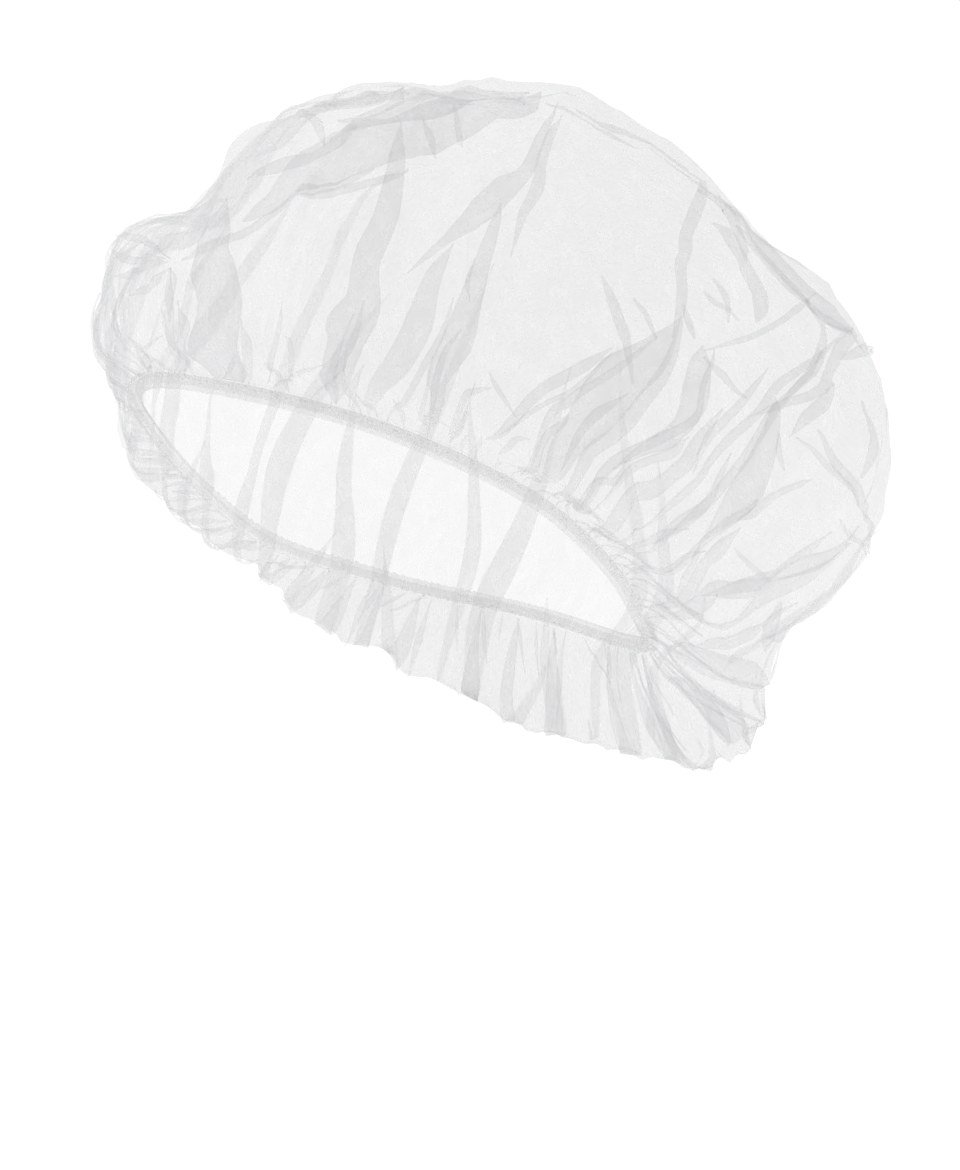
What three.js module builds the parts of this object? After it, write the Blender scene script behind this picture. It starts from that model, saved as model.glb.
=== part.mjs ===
// Disposable hair cover cap: one gathered disc of thin nonwoven cloth, worn form.
// Millimetres, +Z up, front towards -Y, wearer's left towards +X.
// The origin is the centre of the head opening.
import * as THREE from 'three';

// Cloth and clearance
const CLOTH = 1.1;
const GAP = 0.3;

// Head opening: the loop of the hem, measured in its own plane, and how far that plane rises to the front
const OPENING_HALF_BREADTH = 76;
const OPENING_HALF_LENGTH = 114;
const OPENING_TILT = 32;

// Bag: farthest reach from the loop's axis, height above the loop's plane, and how far its top lies back
const BAG_REACH = 156;
const BAG_HEIGHT = 145;
const CROWN_BACK = 8;

// Hem casing round the elastic
const ELASTIC_WIDTH = 3.2;
const ELASTIC_THICKNESS = 0.8;
const HEM_RUFFLE = 0.6;

// Gathers at the hem: where they start and die out as shares of the way up, how much they differ in depth
// and in spacing; and the largest width and depth of the long folds and of the dents
const GATHER_COUNT = 33;
const GATHER_DEPTH = 2.0;
const GATHER_START_SHARE = 0.02;
const GATHER_REACH_SHARE = 0.16;
const GATHER_VARIETY_SHARE = 0.25;
const GATHER_WANDER_SHARE = 0.16;
const FOLD_WIDTH = 30;
const FOLD_DEPTH = 5.5;
const DENT_WIDTH = 60;
const DENT_DEPTH = 22;

// Shape of a long fold: the share of its width that its steep side takes, how hollow its slow side is,
// how bluntly it ends, and the share of the way up below the top where all relief has died out
const CREASE_DROP_SHARE = 0.4;
const CREASE_HOLLOW_POWER = 1.5;
const CREASE_BLUNTNESS_POWER = 0.7;
const TOP_FADE_SHARE = 0.125;

// How finely the crown is faceted from hem to top, and how the rings crowd towards the hem
const RING_COUNT = 16;
const RING_CROWDING_POWER = 1.2;
const COLUMNS_PER_GATHER = 4;

// Sections of the bag by angle round the loop's axis, 0 at the wearer's left and -90 at the forehead.
// rim is the loop's own rise; each other place is out (share of BAG_REACH) and up (share of BAG_HEIGHT).
const SECTION_COLUMNS = [
  'angle', 'rim',
  'tuckOut', 'tuckUp', 'hangOut', 'hangUp', 'waistOut', 'waistUp',
  'bellyOut', 'bellyUp', 'shoulderOut', 'shoulderUp', 'crestOut', 'crestUp',
];
const SECTIONS = [
  [-90, 0.00, 0.755, 0.04, 0.86, 0.08, 0.905, 0.17, 0.905, 0.30, 0.73, 0.61, 0.49, 0.78],
  [-60, 0.01, 0.66, 0.05, 0.83, 0.06, 0.87, 0.17, 0.885, 0.30, 0.745, 0.61, 0.515, 0.80],
  [-30, 0.00, 0.545, 0.035, 0.77, 0.015, 0.835, 0.14, 0.845, 0.29, 0.73, 0.61, 0.545, 0.82],
  [0, -0.04, 0.52, -0.01, 0.745, -0.08, 0.83, 0.08, 0.875, 0.30, 0.71, 0.61, 0.55, 0.86],
  [30, -0.08, 0.575, -0.10, 0.835, -0.18, 0.83, -0.03, 0.975, 0.31, 0.79, 0.60, 0.56, 0.88],
  [50, -0.07, 0.64, -0.13, 0.885, -0.25, 0.795, -0.06, 0.97, 0.16, 0.70, 0.56, 0.56, 0.88],
  [70, -0.04, 0.72, -0.14, 0.90, -0.275, 0.795, -0.09, 0.92, 0.11, 0.68, 0.55, 0.55, 0.87],
  [95, 0.00, 0.755, -0.095, 0.885, -0.26, 0.815, -0.095, 0.885, 0.125, 0.67, 0.55, 0.54, 0.84],
  [120, -0.03, 0.68, -0.095, 0.835, -0.195, 0.805, -0.04, 0.845, 0.165, 0.665, 0.56, 0.54, 0.81],
  [150, -0.06, 0.565, -0.09, 0.73, -0.11, 0.77, 0.04, 0.77, 0.235, 0.655, 0.565, 0.525, 0.79],
  [180, -0.035, 0.525, -0.03, 0.64, -0.05, 0.69, 0.09, 0.70, 0.26, 0.64, 0.565, 0.515, 0.785],
  [210, 0.00, 0.545, 0.015, 0.635, 0.02, 0.69, 0.15, 0.70, 0.30, 0.64, 0.565, 0.475, 0.77],
  [240, 0.01, 0.65, 0.035, 0.755, 0.06, 0.785, 0.16, 0.79, 0.30, 0.65, 0.565, 0.465, 0.76],
];

// Long folds that run up from the hem. angle and lean in degrees round the loop; from and to are shares
// of the way from hem to top; width and depth are shares of FOLD_WIDTH and FOLD_DEPTH.
const FOLD_COLUMNS = ['angle', 'lean', 'from', 'to', 'width', 'depth'];
const FOLDS = [
  [-110, -8, 0.02, 0.42, 0.8, 0.7],
  [-95, -4, 0.04, 0.60, 0.7, 0.6],
  [-84, 2, 0.06, 0.40, 0.6, -0.5],
  [-73, -2, 0.03, 0.60, 1.0, 0.9],
  [-64, 0, 0.10, 0.30, 0.6, 0.5],
  [-57, 10, 0.08, 0.90, 1.0, 1.0],
  [-46, 16, 0.10, 0.45, 0.8, 0.9],
  [-36, 6, 0.22, 0.50, 0.7, -0.7],
  [-30, 2, 0.04, 0.44, 0.9, 1.0],
  [-24, 4, 0.08, 0.52, 0.8, 0.8],
  [-15, 22, 0.06, 0.62, 0.9, 1.0],
  [-4, 14, 0.06, 0.42, 1.0, 1.0],
  [6, 16, 0.14, 0.50, 0.8, -0.7],
  [18, 8, 0.04, 0.40, 1.0, 1.0],
  [34, 8, 0.02, 0.24, 0.7, 0.9],
  [44, 14, 0.02, 0.34, 0.8, 1.0],
  [62, 6, 0.02, 0.30, 0.8, 0.8],
  [78, -4, 0.03, 0.55, 1.0, 0.8],
  [96, 6, 0.02, 0.34, 0.9, 1.0],
  [114, -8, 0.04, 0.60, 0.9, 0.8],
  [132, 6, 0.02, 0.36, 0.9, 0.9],
  [150, -4, 0.05, 0.50, 0.8, 0.7],
  [167, 8, 0.03, 0.40, 0.9, 0.9],
  [184, -6, 0.05, 0.62, 0.9, 0.8],
  [202, 6, 0.04, 0.44, 0.8, 0.8],
  [220, -6, 0.03, 0.40, 0.8, 0.7],
];

// Broad dents and bulges: where round the loop, how far up, and shares of DENT_WIDTH and DENT_DEPTH.
// round stretches a dent round the bag, up stretches it from hem to top.
const DENT_COLUMNS = ['angle', 'along', 'round', 'up', 'depth'];
const DENTS = [
  [-106, 0.27, 0.42, 0.35, -0.60],
  [-130, 0.44, 0.70, 0.45, -0.62],
  [-132, 0.28, 0.60, 0.35, 0.45],
  [10, 0.70, 1.00, 0.60, -0.40],
  [4, 0.38, 0.50, 0.50, 0.20],
  [26, 0.17, 0.60, 0.30, -0.25],
];

const radians = THREE.MathUtils.degToRad;
const hemHeight = CLOTH + GAP + ELASTIC_WIDTH + GAP;
const hemThickness = 2 * (CLOTH + GAP) + ELASTIC_THICKNESS;
const crownStart = hemHeight + GAP;

/** Reads a table row into an object with the table's column names. */
function named(columns, row) {
  return Object.fromEntries(columns.map((name, i) => [name, row[i]]));
}

const sections = SECTIONS.map((row) => named(SECTION_COLUMNS, row));
const folds = FOLDS.map((row) => named(FOLD_COLUMNS, row));
const dents = DENTS.map((row) => named(DENT_COLUMNS, row));

/** Smooth closed curve through four neighbouring values at uneven places. */
function hermite(places, values, at) {
  const [x0, x1, x2, x3] = places;
  const [y0, y1, y2, y3] = values;
  const step = x2 - x1;
  const u = (at - x1) / step;
  const slopeIn = ((y2 - y0) / (x2 - x0)) * step;
  const slopeOut = ((y3 - y1) / (x3 - x1)) * step;
  const rise = u * u * (3 - 2 * u);
  return y1 + (y2 - y1) * rise + slopeIn * u * (1 - u) ** 2 - slopeOut * u * u * (1 - u);
}

/** Shortest signed turn from one angle to another, in degrees. */
function turn(from, to) {
  return THREE.MathUtils.euclideanModulo(to - from + 180, 360) - 180;
}

/** The section at any angle, smoothed between the rows of the table. */
function sectionAt(angle) {
  const count = sections.length;
  const first = sections[0].angle;
  const wrapped = THREE.MathUtils.euclideanModulo(angle - first, 360) + first;
  const after = sections.findIndex((row) => row.angle > wrapped);
  const k = (after < 0 ? count : after) - 1;
  const rows = [-1, 0, 1, 2].map((step) => {
    const index = k + step;
    const row = sections[THREE.MathUtils.euclideanModulo(index, count)];
    return { row, place: row.angle + 360 * Math.floor(index / count) };
  });
  const places = rows.map((entry) => entry.place);
  const value = (name) => hermite(places, rows.map((entry) => entry.row[name]), wrapped);
  return Object.fromEntries(SECTION_COLUMNS.slice(1).map((name) => [name, value(name)]));
}

/** Radius of the loop at an angle round its axis. */
function loopRadius(angle) {
  const across = Math.cos(radians(angle)) / OPENING_HALF_BREADTH;
  const along = Math.sin(radians(angle)) / OPENING_HALF_LENGTH;
  return 1 / Math.hypot(across, along);
}

/** Middle line of the cloth from the loop to the top, at one angle, as an even curve. */
function profileAt(angle) {
  const s = sectionAt(angle);
  const outward = new THREE.Vector3(Math.cos(radians(angle)), Math.sin(radians(angle)), 0);
  const place = (out, up) => outward.clone().multiplyScalar(out).setZ(up);
  const names = ['tuck', 'hang', 'waist', 'belly', 'shoulder', 'crest'];
  const points = names.map((name) => place(s[`${name}Out`] * BAG_REACH, s[`${name}Up`] * BAG_HEIGHT));
  const top = new THREE.Vector3(0, CROWN_BACK, BAG_HEIGHT);
  const beyond = place(-s.crestOut * BAG_REACH, s.crestUp * BAG_HEIGHT);
  const line = [place(loopRadius(angle), s.rim * BAG_HEIGHT), ...points, top];
  return new EvenCurve(line, beyond);
}

/** A smooth line through points, read by distance along it. */
class EvenCurve {
  constructor(line, beyond) {
    const curve = new THREE.CatmullRomCurve3([...line, beyond], false, 'centripetal');
    const kept = (line.length - 1) / line.length;
    const samples = 140;
    this.points = Array.from({ length: samples + 1 }, (_, i) => curve.getPoint((kept * i) / samples));
    this.reach = [0];
    for (let i = 1; i <= samples; i += 1) {
      this.reach.push(this.reach[i - 1] + this.points[i].distanceTo(this.points[i - 1]));
    }
    this.length = this.reach[samples];
  }

  /** Point at a distance from the loop. */
  at(distance) {
    const last = this.reach.length - 1;
    let i = this.reach.findIndex((reached) => reached >= distance);
    i = i < 1 ? (i < 0 ? last : 1) : i;
    const share = (distance - this.reach[i - 1]) / (this.reach[i] - this.reach[i - 1]);
    return this.points[i - 1].clone().lerp(this.points[i], share);
  }
}

const profiles = new Map();

/** Profile at an angle, kept once it has been worked out. */
function profile(angle) {
  const key = angle.toFixed(4);
  if (!profiles.has(key)) profiles.set(key, profileAt(angle));
  return profiles.get(key);
}

/** Place on the smooth bag and the direction out of it, at a distance or a share of the way up. */
function smoothPlace(angle, distanceOf) {
  const around = 0.6;
  const along = 0.6;
  const here = profile(angle);
  const distance = distanceOf(here);
  const point = here.at(distance);
  const before = profile(angle - around);
  const after = profile(angle + around);
  const sideways = after.at(distanceOf(after)).sub(before.at(distanceOf(before)));
  const low = here.at(Math.max(distance - along, 0));
  const high = here.at(Math.min(distance + along, here.length));
  const upward = high.sub(low);
  const normal = sideways.cross(upward).normalize();
  return { point, normal };
}

/** Straight frame of the hem at an angle: its edge on the loop, the way up it and the way out of it. */
function hemFrame(angle) {
  const edge = profile(angle).at(0);
  const upward = profile(angle).at(hemHeight).sub(edge).normalize();
  const { normal } = smoothPlace(angle, () => hemHeight / 2);
  const outward = normal.addScaledVector(upward, -normal.dot(upward)).normalize();
  return { edge, upward, outward };
}

/** A place on the hem's frame at a distance up it and out of it. */
function onHem({ edge, upward, outward }, distance, out) {
  return edge.clone().addScaledVector(upward, distance).addScaledVector(outward, out);
}

/** Hump of one between two shares, nought at both ends. */
function swell(from, to, at) {
  const u = (at - from) / (to - from);
  if (u <= 0 || u >= 1) return 0;
  return Math.sin(Math.PI * u) ** CREASE_BLUNTNESS_POWER;
}

/** Fold across its width: it climbs slowly on one side and drops sharply on the other. */
function crease(u) {
  if (u <= -1 || u >= CREASE_DROP_SHARE) return 0;
  return u < 0 ? (1 + u) ** CREASE_HOLLOW_POWER : 1 - u / CREASE_DROP_SHARE;
}

/** Long folds and dents: how far the cloth stands out at an angle, share and radius. */
function relief(angle, share, radius) {
  const arc = radians(1) * radius;
  let height = 0;
  for (const fold of folds) {
    const along = (share - fold.from) / (fold.to - fold.from);
    const sideways = turn(fold.angle + fold.lean * along, angle) * arc;
    const across = crease(sideways / (fold.width * FOLD_WIDTH));
    height += across * swell(fold.from, fold.to, share) * fold.depth * FOLD_DEPTH;
  }
  for (const dent of dents) {
    const sideways = (turn(dent.angle, angle) * arc) / (dent.round * DENT_WIDTH);
    const upward = ((share - dent.along) * (2 * BAG_HEIGHT)) / (dent.up * DENT_WIDTH);
    height += Math.exp(-(sideways ** 2) - upward ** 2) * dent.depth * DENT_DEPTH;
  }
  return height;
}

/** Columns of the cloth round the loop: a valley, a flank, a ridge and a flank for each gather. */
function gatherColumns() {
  const columns = [];
  const pitch = 360 / GATHER_COUNT;
  for (let i = 0; i < GATHER_COUNT; i += 1) {
    const size = 1 - GATHER_VARIETY_SHARE * (1 + Math.sin(7 * radians(i * pitch)));
    for (let k = 0; k < COLUMNS_PER_GATHER; k += 1) {
      const even = (i + k / COLUMNS_PER_GATHER) * pitch;
      const wander = Math.sin(5 * radians(even)) + Math.sin(11 * radians(even) + 2);
      const around = radians(even + GATHER_WANDER_SHARE * pitch * wander);
      const along = OPENING_HALF_LENGTH * Math.sin(around);
      const across = OPENING_HALF_BREADTH * Math.cos(around);
      columns.push({
        angle: THREE.MathUtils.radToDeg(Math.atan2(along, across)),
        gather: [-1, 0.1, 1, -0.1][k] * size,
      });
    }
  }
  return columns;
}

const columns = gatherColumns();
const loopAngles = columns.map(({ angle }) => angle);

/** Closed geometry from its points and its three-cornered faces. */
function solid(points, faces) {
  const geometry = new THREE.BufferGeometry();
  const numbers = points.flatMap((point) => [point.x, point.y, point.z]);
  geometry.setAttribute('position', new THREE.Float32BufferAttribute(numbers, 3));
  geometry.setIndex(faces.flat());
  geometry.computeVertexNormals();
  return geometry;
}

/** Two faces for one four-sided patch. */
function patch(a, b, c, d) {
  return [[a, b, c], [a, c, d]];
}

/** The crown: a hollow bag of cloth, open at the loop, with its folds, dents and gathers. */
function crownGeometry() {
  const rings = Array.from({ length: RING_COUNT }, (_, k) => (k / RING_COUNT) ** RING_CROWDING_POWER);
  const grid = columns.map(({ angle, gather }) => rings.map((share) => {
    const distanceOf = (line) => crownStart + share * (line.length - crownStart);
    const frame = hemFrame(angle);
    const smooth = smoothPlace(angle, distanceOf);
    const point = share > 0 ? smooth.point : onHem(frame, crownStart, 0);
    const normal = share > 0 ? smooth.normal : frame.outward;
    const rise = 1 - Math.exp(-share / GATHER_START_SHARE);
    const ruffle = gather * GATHER_DEPTH * rise * Math.exp(-share / GATHER_REACH_SHARE);
    const fade = Math.min(1, (1 - share) / TOP_FADE_SHARE);
    const height = (relief(angle, share, Math.hypot(point.x, point.y)) + ruffle) * fade;
    return { point: point.addScaledVector(normal, height + CLOTH / 2), normal };
  }));
  const count = columns.length;
  const at = (i) => grid[(i + count) % count];
  const steepest = 0.6;
  const points = [];
  const outer = (i, k) => ((i % count) * RING_COUNT + k) * 2;
  const inner = (i, k) => outer(i, k) + 1;
  for (let i = 0; i < count; i += 1) {
    for (let k = 0; k < RING_COUNT; k += 1) {
      const { point, normal } = grid[i][k];
      const sideways = at(i + 1)[k].point.clone().sub(at(i - 1)[k].point);
      const upward = grid[i][Math.min(k + 1, RING_COUNT - 1)].point.clone();
      upward.sub(grid[i][Math.max(k - 1, 0)].point);
      const slope = Math.max(sideways.cross(upward).normalize().dot(normal), steepest);
      points.push(point, point.clone().addScaledVector(normal, -CLOTH / slope));
    }
  }
  const topOuter = points.length;
  const topInner = topOuter + 1;
  points.push(new THREE.Vector3(0, CROWN_BACK, BAG_HEIGHT + CLOTH / 2));
  points.push(new THREE.Vector3(0, CROWN_BACK, BAG_HEIGHT - CLOTH / 2));
  const faces = [];
  const last = RING_COUNT - 1;
  for (let i = 0; i < count; i += 1) {
    for (let k = 0; k < last; k += 1) {
      faces.push(...patch(outer(i, k), outer(i + 1, k), outer(i + 1, k + 1), outer(i, k + 1)));
      faces.push(...patch(inner(i, k), inner(i, k + 1), inner(i + 1, k + 1), inner(i + 1, k)));
    }
    faces.push([outer(i, last), outer(i + 1, last), topOuter]);
    faces.push([inner(i + 1, last), inner(i, last), topInner]);
    faces.push(...patch(inner(i, 0), inner(i + 1, 0), outer(i + 1, 0), outer(i, 0)));
  }
  return solid(points, faces);
}

/** A ring swept round the loop; section gives its corners as distances up the hem and out of it. */
function ringGeometry(angles, section) {
  const points = [];
  const corners = section(0).length;
  angles.forEach((angle, i) => {
    const frame = hemFrame(angle);
    for (const [distance, out] of section(i)) points.push(onHem(frame, distance, out));
  });
  const faces = [];
  const count = angles.length;
  for (let i = 0; i < count; i += 1) {
    const here = i * corners;
    const next = ((i + 1) % count) * corners;
    for (let k = 0; k < corners; k += 1) {
      const other = (k + 1) % corners;
      faces.push(...patch(here + k, next + k, next + other, here + other));
    }
  }
  return solid(points, faces);
}

/** The hem: cloth folded over into a casing that is open along the crown's edge, ruffled outside. */
function hemGeometry() {
  const half = hemThickness / 2;
  const wall = half - CLOTH;
  return ringGeometry(loopAngles, (i) => {
    const ruffle = HEM_RUFFLE * (1 + columns[i].gather) / 2;
    return [
      [hemHeight, -half], [0, -half], [0, half + ruffle / 2], [hemHeight, half + ruffle],
      [hemHeight, wall], [CLOTH, wall], [CLOTH, -wall], [hemHeight, -wall],
    ];
  });
}

/** The flat elastic band inside the hem. */
function elasticGeometry() {
  const low = CLOTH + GAP;
  const high = low + ELASTIC_WIDTH;
  const half = ELASTIC_THICKNESS / 2;
  return ringGeometry(loopAngles, () => [[high, -half], [low, -half], [low, half], [high, half]]);
}

/** A named piece with its own material. */
function piece(name, geometry, colour, roughness) {
  const material = new THREE.MeshStandardMaterial({ color: colour, roughness, metalness: 0 });
  const mesh = new THREE.Mesh(geometry, material);
  mesh.name = name;
  return mesh;
}

const cap = new THREE.Group();
cap.add(piece('crown', crownGeometry(), '#eef1f4', 0.85));
cap.add(piece('hem_casing', hemGeometry(), '#e2e5ea', 0.85));
cap.add(piece('elastic_band', elasticGeometry(), '#f4f4f1', 0.6));
cap.rotation.x = -radians(OPENING_TILT);
cap.updateMatrixWorld(true);

export default cap;
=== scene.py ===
"""Disposable hair cover cap: a thin gathered nonwoven bag on an elastic hem, held in its worn form.

Metres, +Z up, the forehead towards -Y and the wearer's left towards +X. The origin is the centre
of the head opening.
"""

from __future__ import annotations

import logging
import math
from dataclasses import dataclass, field
from enum import Enum

import bpy
import numpy as np
from mathutils import Matrix, Vector

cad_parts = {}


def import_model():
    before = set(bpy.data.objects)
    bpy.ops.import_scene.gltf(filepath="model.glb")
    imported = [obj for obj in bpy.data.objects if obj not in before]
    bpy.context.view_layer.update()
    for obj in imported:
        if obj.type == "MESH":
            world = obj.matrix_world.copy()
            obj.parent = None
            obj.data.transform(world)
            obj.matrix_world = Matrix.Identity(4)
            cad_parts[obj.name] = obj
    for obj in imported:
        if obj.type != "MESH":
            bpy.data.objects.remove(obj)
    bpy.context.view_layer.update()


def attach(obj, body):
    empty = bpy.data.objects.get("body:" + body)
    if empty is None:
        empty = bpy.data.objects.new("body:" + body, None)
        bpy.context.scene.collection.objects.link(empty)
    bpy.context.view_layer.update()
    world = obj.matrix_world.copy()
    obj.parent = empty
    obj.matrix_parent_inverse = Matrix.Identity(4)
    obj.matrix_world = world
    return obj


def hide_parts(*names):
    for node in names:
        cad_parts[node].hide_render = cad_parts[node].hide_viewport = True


LOG = logging.getLogger("hair_cover_cap")
MM = 0.001
Triple = tuple[float, float, float]
Colour = Triple
Span = tuple[float, float]
Waves = tuple[Triple, ...]
Socket = bpy.types.NodeSocket
GOLDEN_TURN = math.radians(137.508)
TINY = 1e-12
LEAST_RADIUS = 5.0


class Slot(Enum):
    """Finish slots of the record."""

    CROWN = "crown_cloth"
    HEM = "hem_cloth"
    ELASTIC = "elastic"


@dataclass(frozen=True)
class Section:
    """One upright section of the bag: places (out, up) from the loop's axis and plane, as shares."""

    angle: float
    rim: float
    tuck: Span
    hang: Span
    waist: Span
    belly: Span
    shoulder: Span
    crest: Span

    def numbers(self, reach: float, height: float) -> list[float]:
        """The rim's rise and the six places in one row, in millimetres.

        Args:
            reach: what an out share of one stands for.
            height: what an up share of one stands for.

        Returns:
            Thirteen numbers: the rim's rise, then out and up of each place.
        """
        row = [self.rim * height]
        for out, up in (self.tuck, self.hang, self.waist, self.belly, self.shoulder, self.crest):
            row += [out * reach, up * height]
        return row


@dataclass(frozen=True)
class LongFold:
    """A long fold that runs up from the hem, steep on one side, as shares of the form's fold sizes."""

    angle: float
    lean: float
    start: float
    end: float
    width: float
    depth: float


@dataclass(frozen=True)
class Dent:
    """A broad dent (depth below nought) or bulge, as shares of the form's dent sizes."""

    angle: float
    along: float
    across: float
    tall: float
    depth: float


@dataclass(frozen=True)
class LaidFold:
    """A fold of the cloth pressed flat on the sheet: two more layers of it.

    Each place is an angle round the loop, a share of the way from hem to top, and the fold's width
    there in millimetres.
    """

    places: tuple[Triple, ...]


@dataclass(frozen=True)
class Peak:
    """A pointed corner of the cloth: it stands out by depth and falls off over size, in millimetres."""

    angle: float
    along: float
    size: float
    depth: float


@dataclass(frozen=True)
class Rosette:
    """A point where the cloth is drawn together, with short folds that run out of it."""

    angle: float
    along: float
    size: float
    depth: float
    rays: int


SECTIONS = tuple(Section(*row) for row in (
    (-90, 0, (0.755, 0.04), (0.86, 0.08), (0.905, 0.17), (0.905, 0.3), (0.73, 0.61), (0.49, 0.78)),
    (-60, 0.01, (0.66, 0.05), (0.83, 0.06), (0.87, 0.17), (0.885, 0.3), (0.745, 0.61), (0.515, 0.8)),
    (-30, 0, (0.545, 0.035), (0.77, 0.015), (0.835, 0.14), (0.845, 0.29), (0.73, 0.61), (0.545, 0.82)),
    (0, -0.04, (0.52, -0.01), (0.745, -0.08), (0.83, 0.08), (0.875, 0.3), (0.71, 0.61), (0.55, 0.86)),
    (30, -0.08, (0.575, -0.1), (0.835, -0.18), (0.83, -0.03), (0.975, 0.31), (0.79, 0.6), (0.56, 0.88)),
    (50, -0.07, (0.64, -0.13), (0.885, -0.25), (0.795, -0.06), (0.97, 0.16), (0.7, 0.56), (0.56, 0.88)),
    (70, -0.04, (0.72, -0.14), (0.9, -0.275), (0.795, -0.09), (0.92, 0.11), (0.68, 0.55), (0.55, 0.87)),
    (95, 0, (0.755, -0.095), (0.885, -0.26), (0.815, -0.095), (0.885, 0.125), (0.67, 0.55),
     (0.54, 0.84)),
    (120, -0.03, (0.68, -0.095), (0.835, -0.195), (0.805, -0.04), (0.845, 0.165), (0.665, 0.56),
     (0.54, 0.81)),
    (150, -0.06, (0.565, -0.09), (0.73, -0.11), (0.77, 0.04), (0.77, 0.235), (0.655, 0.565),
     (0.525, 0.79)),
    (180, -0.035, (0.525, -0.03), (0.64, -0.05), (0.69, 0.09), (0.7, 0.26), (0.64, 0.565),
     (0.515, 0.785)),
    (210, 0, (0.545, 0.015), (0.635, 0.02), (0.69, 0.15), (0.7, 0.3), (0.64, 0.565), (0.475, 0.77)),
    (240, 0.01, (0.65, 0.035), (0.755, 0.06), (0.785, 0.16), (0.79, 0.3), (0.65, 0.565), (0.465, 0.76)),
))

LONG_FOLDS = tuple(LongFold(*row) for row in (
    (-110, -8, 0.02, 0.42, 0.8, 0.7), (-95, -4, 0.04, 0.6, 0.7, 0.6), (-84, 2, 0.06, 0.4, 0.6, -0.5),
    (-73, -2, 0.03, 0.6, 1, 0.9), (-64, 0, 0.1, 0.3, 0.6, 0.5), (-57, 10, 0.08, 0.9, 1, 1),
    (-46, 16, 0.1, 0.45, 0.8, 0.9), (-36, 6, 0.22, 0.5, 0.7, -0.7), (-30, 2, 0.04, 0.44, 0.9, 1),
    (-24, 4, 0.08, 0.52, 0.8, 0.8), (-15, 22, 0.06, 0.62, 0.9, 1), (-4, 14, 0.06, 0.42, 1, 1),
    (6, 16, 0.14, 0.5, 0.8, -0.7), (18, 8, 0.04, 0.4, 1, 1), (34, 8, 0.02, 0.24, 0.7, 0.9),
    (44, 14, 0.02, 0.34, 0.8, 1), (62, 6, 0.02, 0.3, 0.8, 0.8), (78, -4, 0.03, 0.55, 1, 0.8),
    (96, 6, 0.02, 0.34, 0.9, 1), (114, -8, 0.04, 0.6, 0.9, 0.8), (132, 6, 0.02, 0.36, 0.9, 0.9),
    (150, -4, 0.05, 0.5, 0.8, 0.7), (167, 8, 0.03, 0.4, 0.9, 0.9), (184, -6, 0.05, 0.62, 0.9, 0.8),
    (202, 6, 0.04, 0.44, 0.8, 0.8), (220, -6, 0.03, 0.4, 0.8, 0.7),
))

DENTS = tuple(Dent(*row) for row in (
    (-106, 0.27, 0.42, 0.35, -0.6), (-130, 0.44, 0.7, 0.45, -0.62), (-132, 0.28, 0.6, 0.35, 0.45),
    (10, 0.7, 1, 0.6, -0.4), (4, 0.38, 0.5, 0.5, 0.2), (26, 0.17, 0.6, 0.3, -0.25),
    (-117, 0.36, 0.55, 0.5, -0.38),
))

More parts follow.
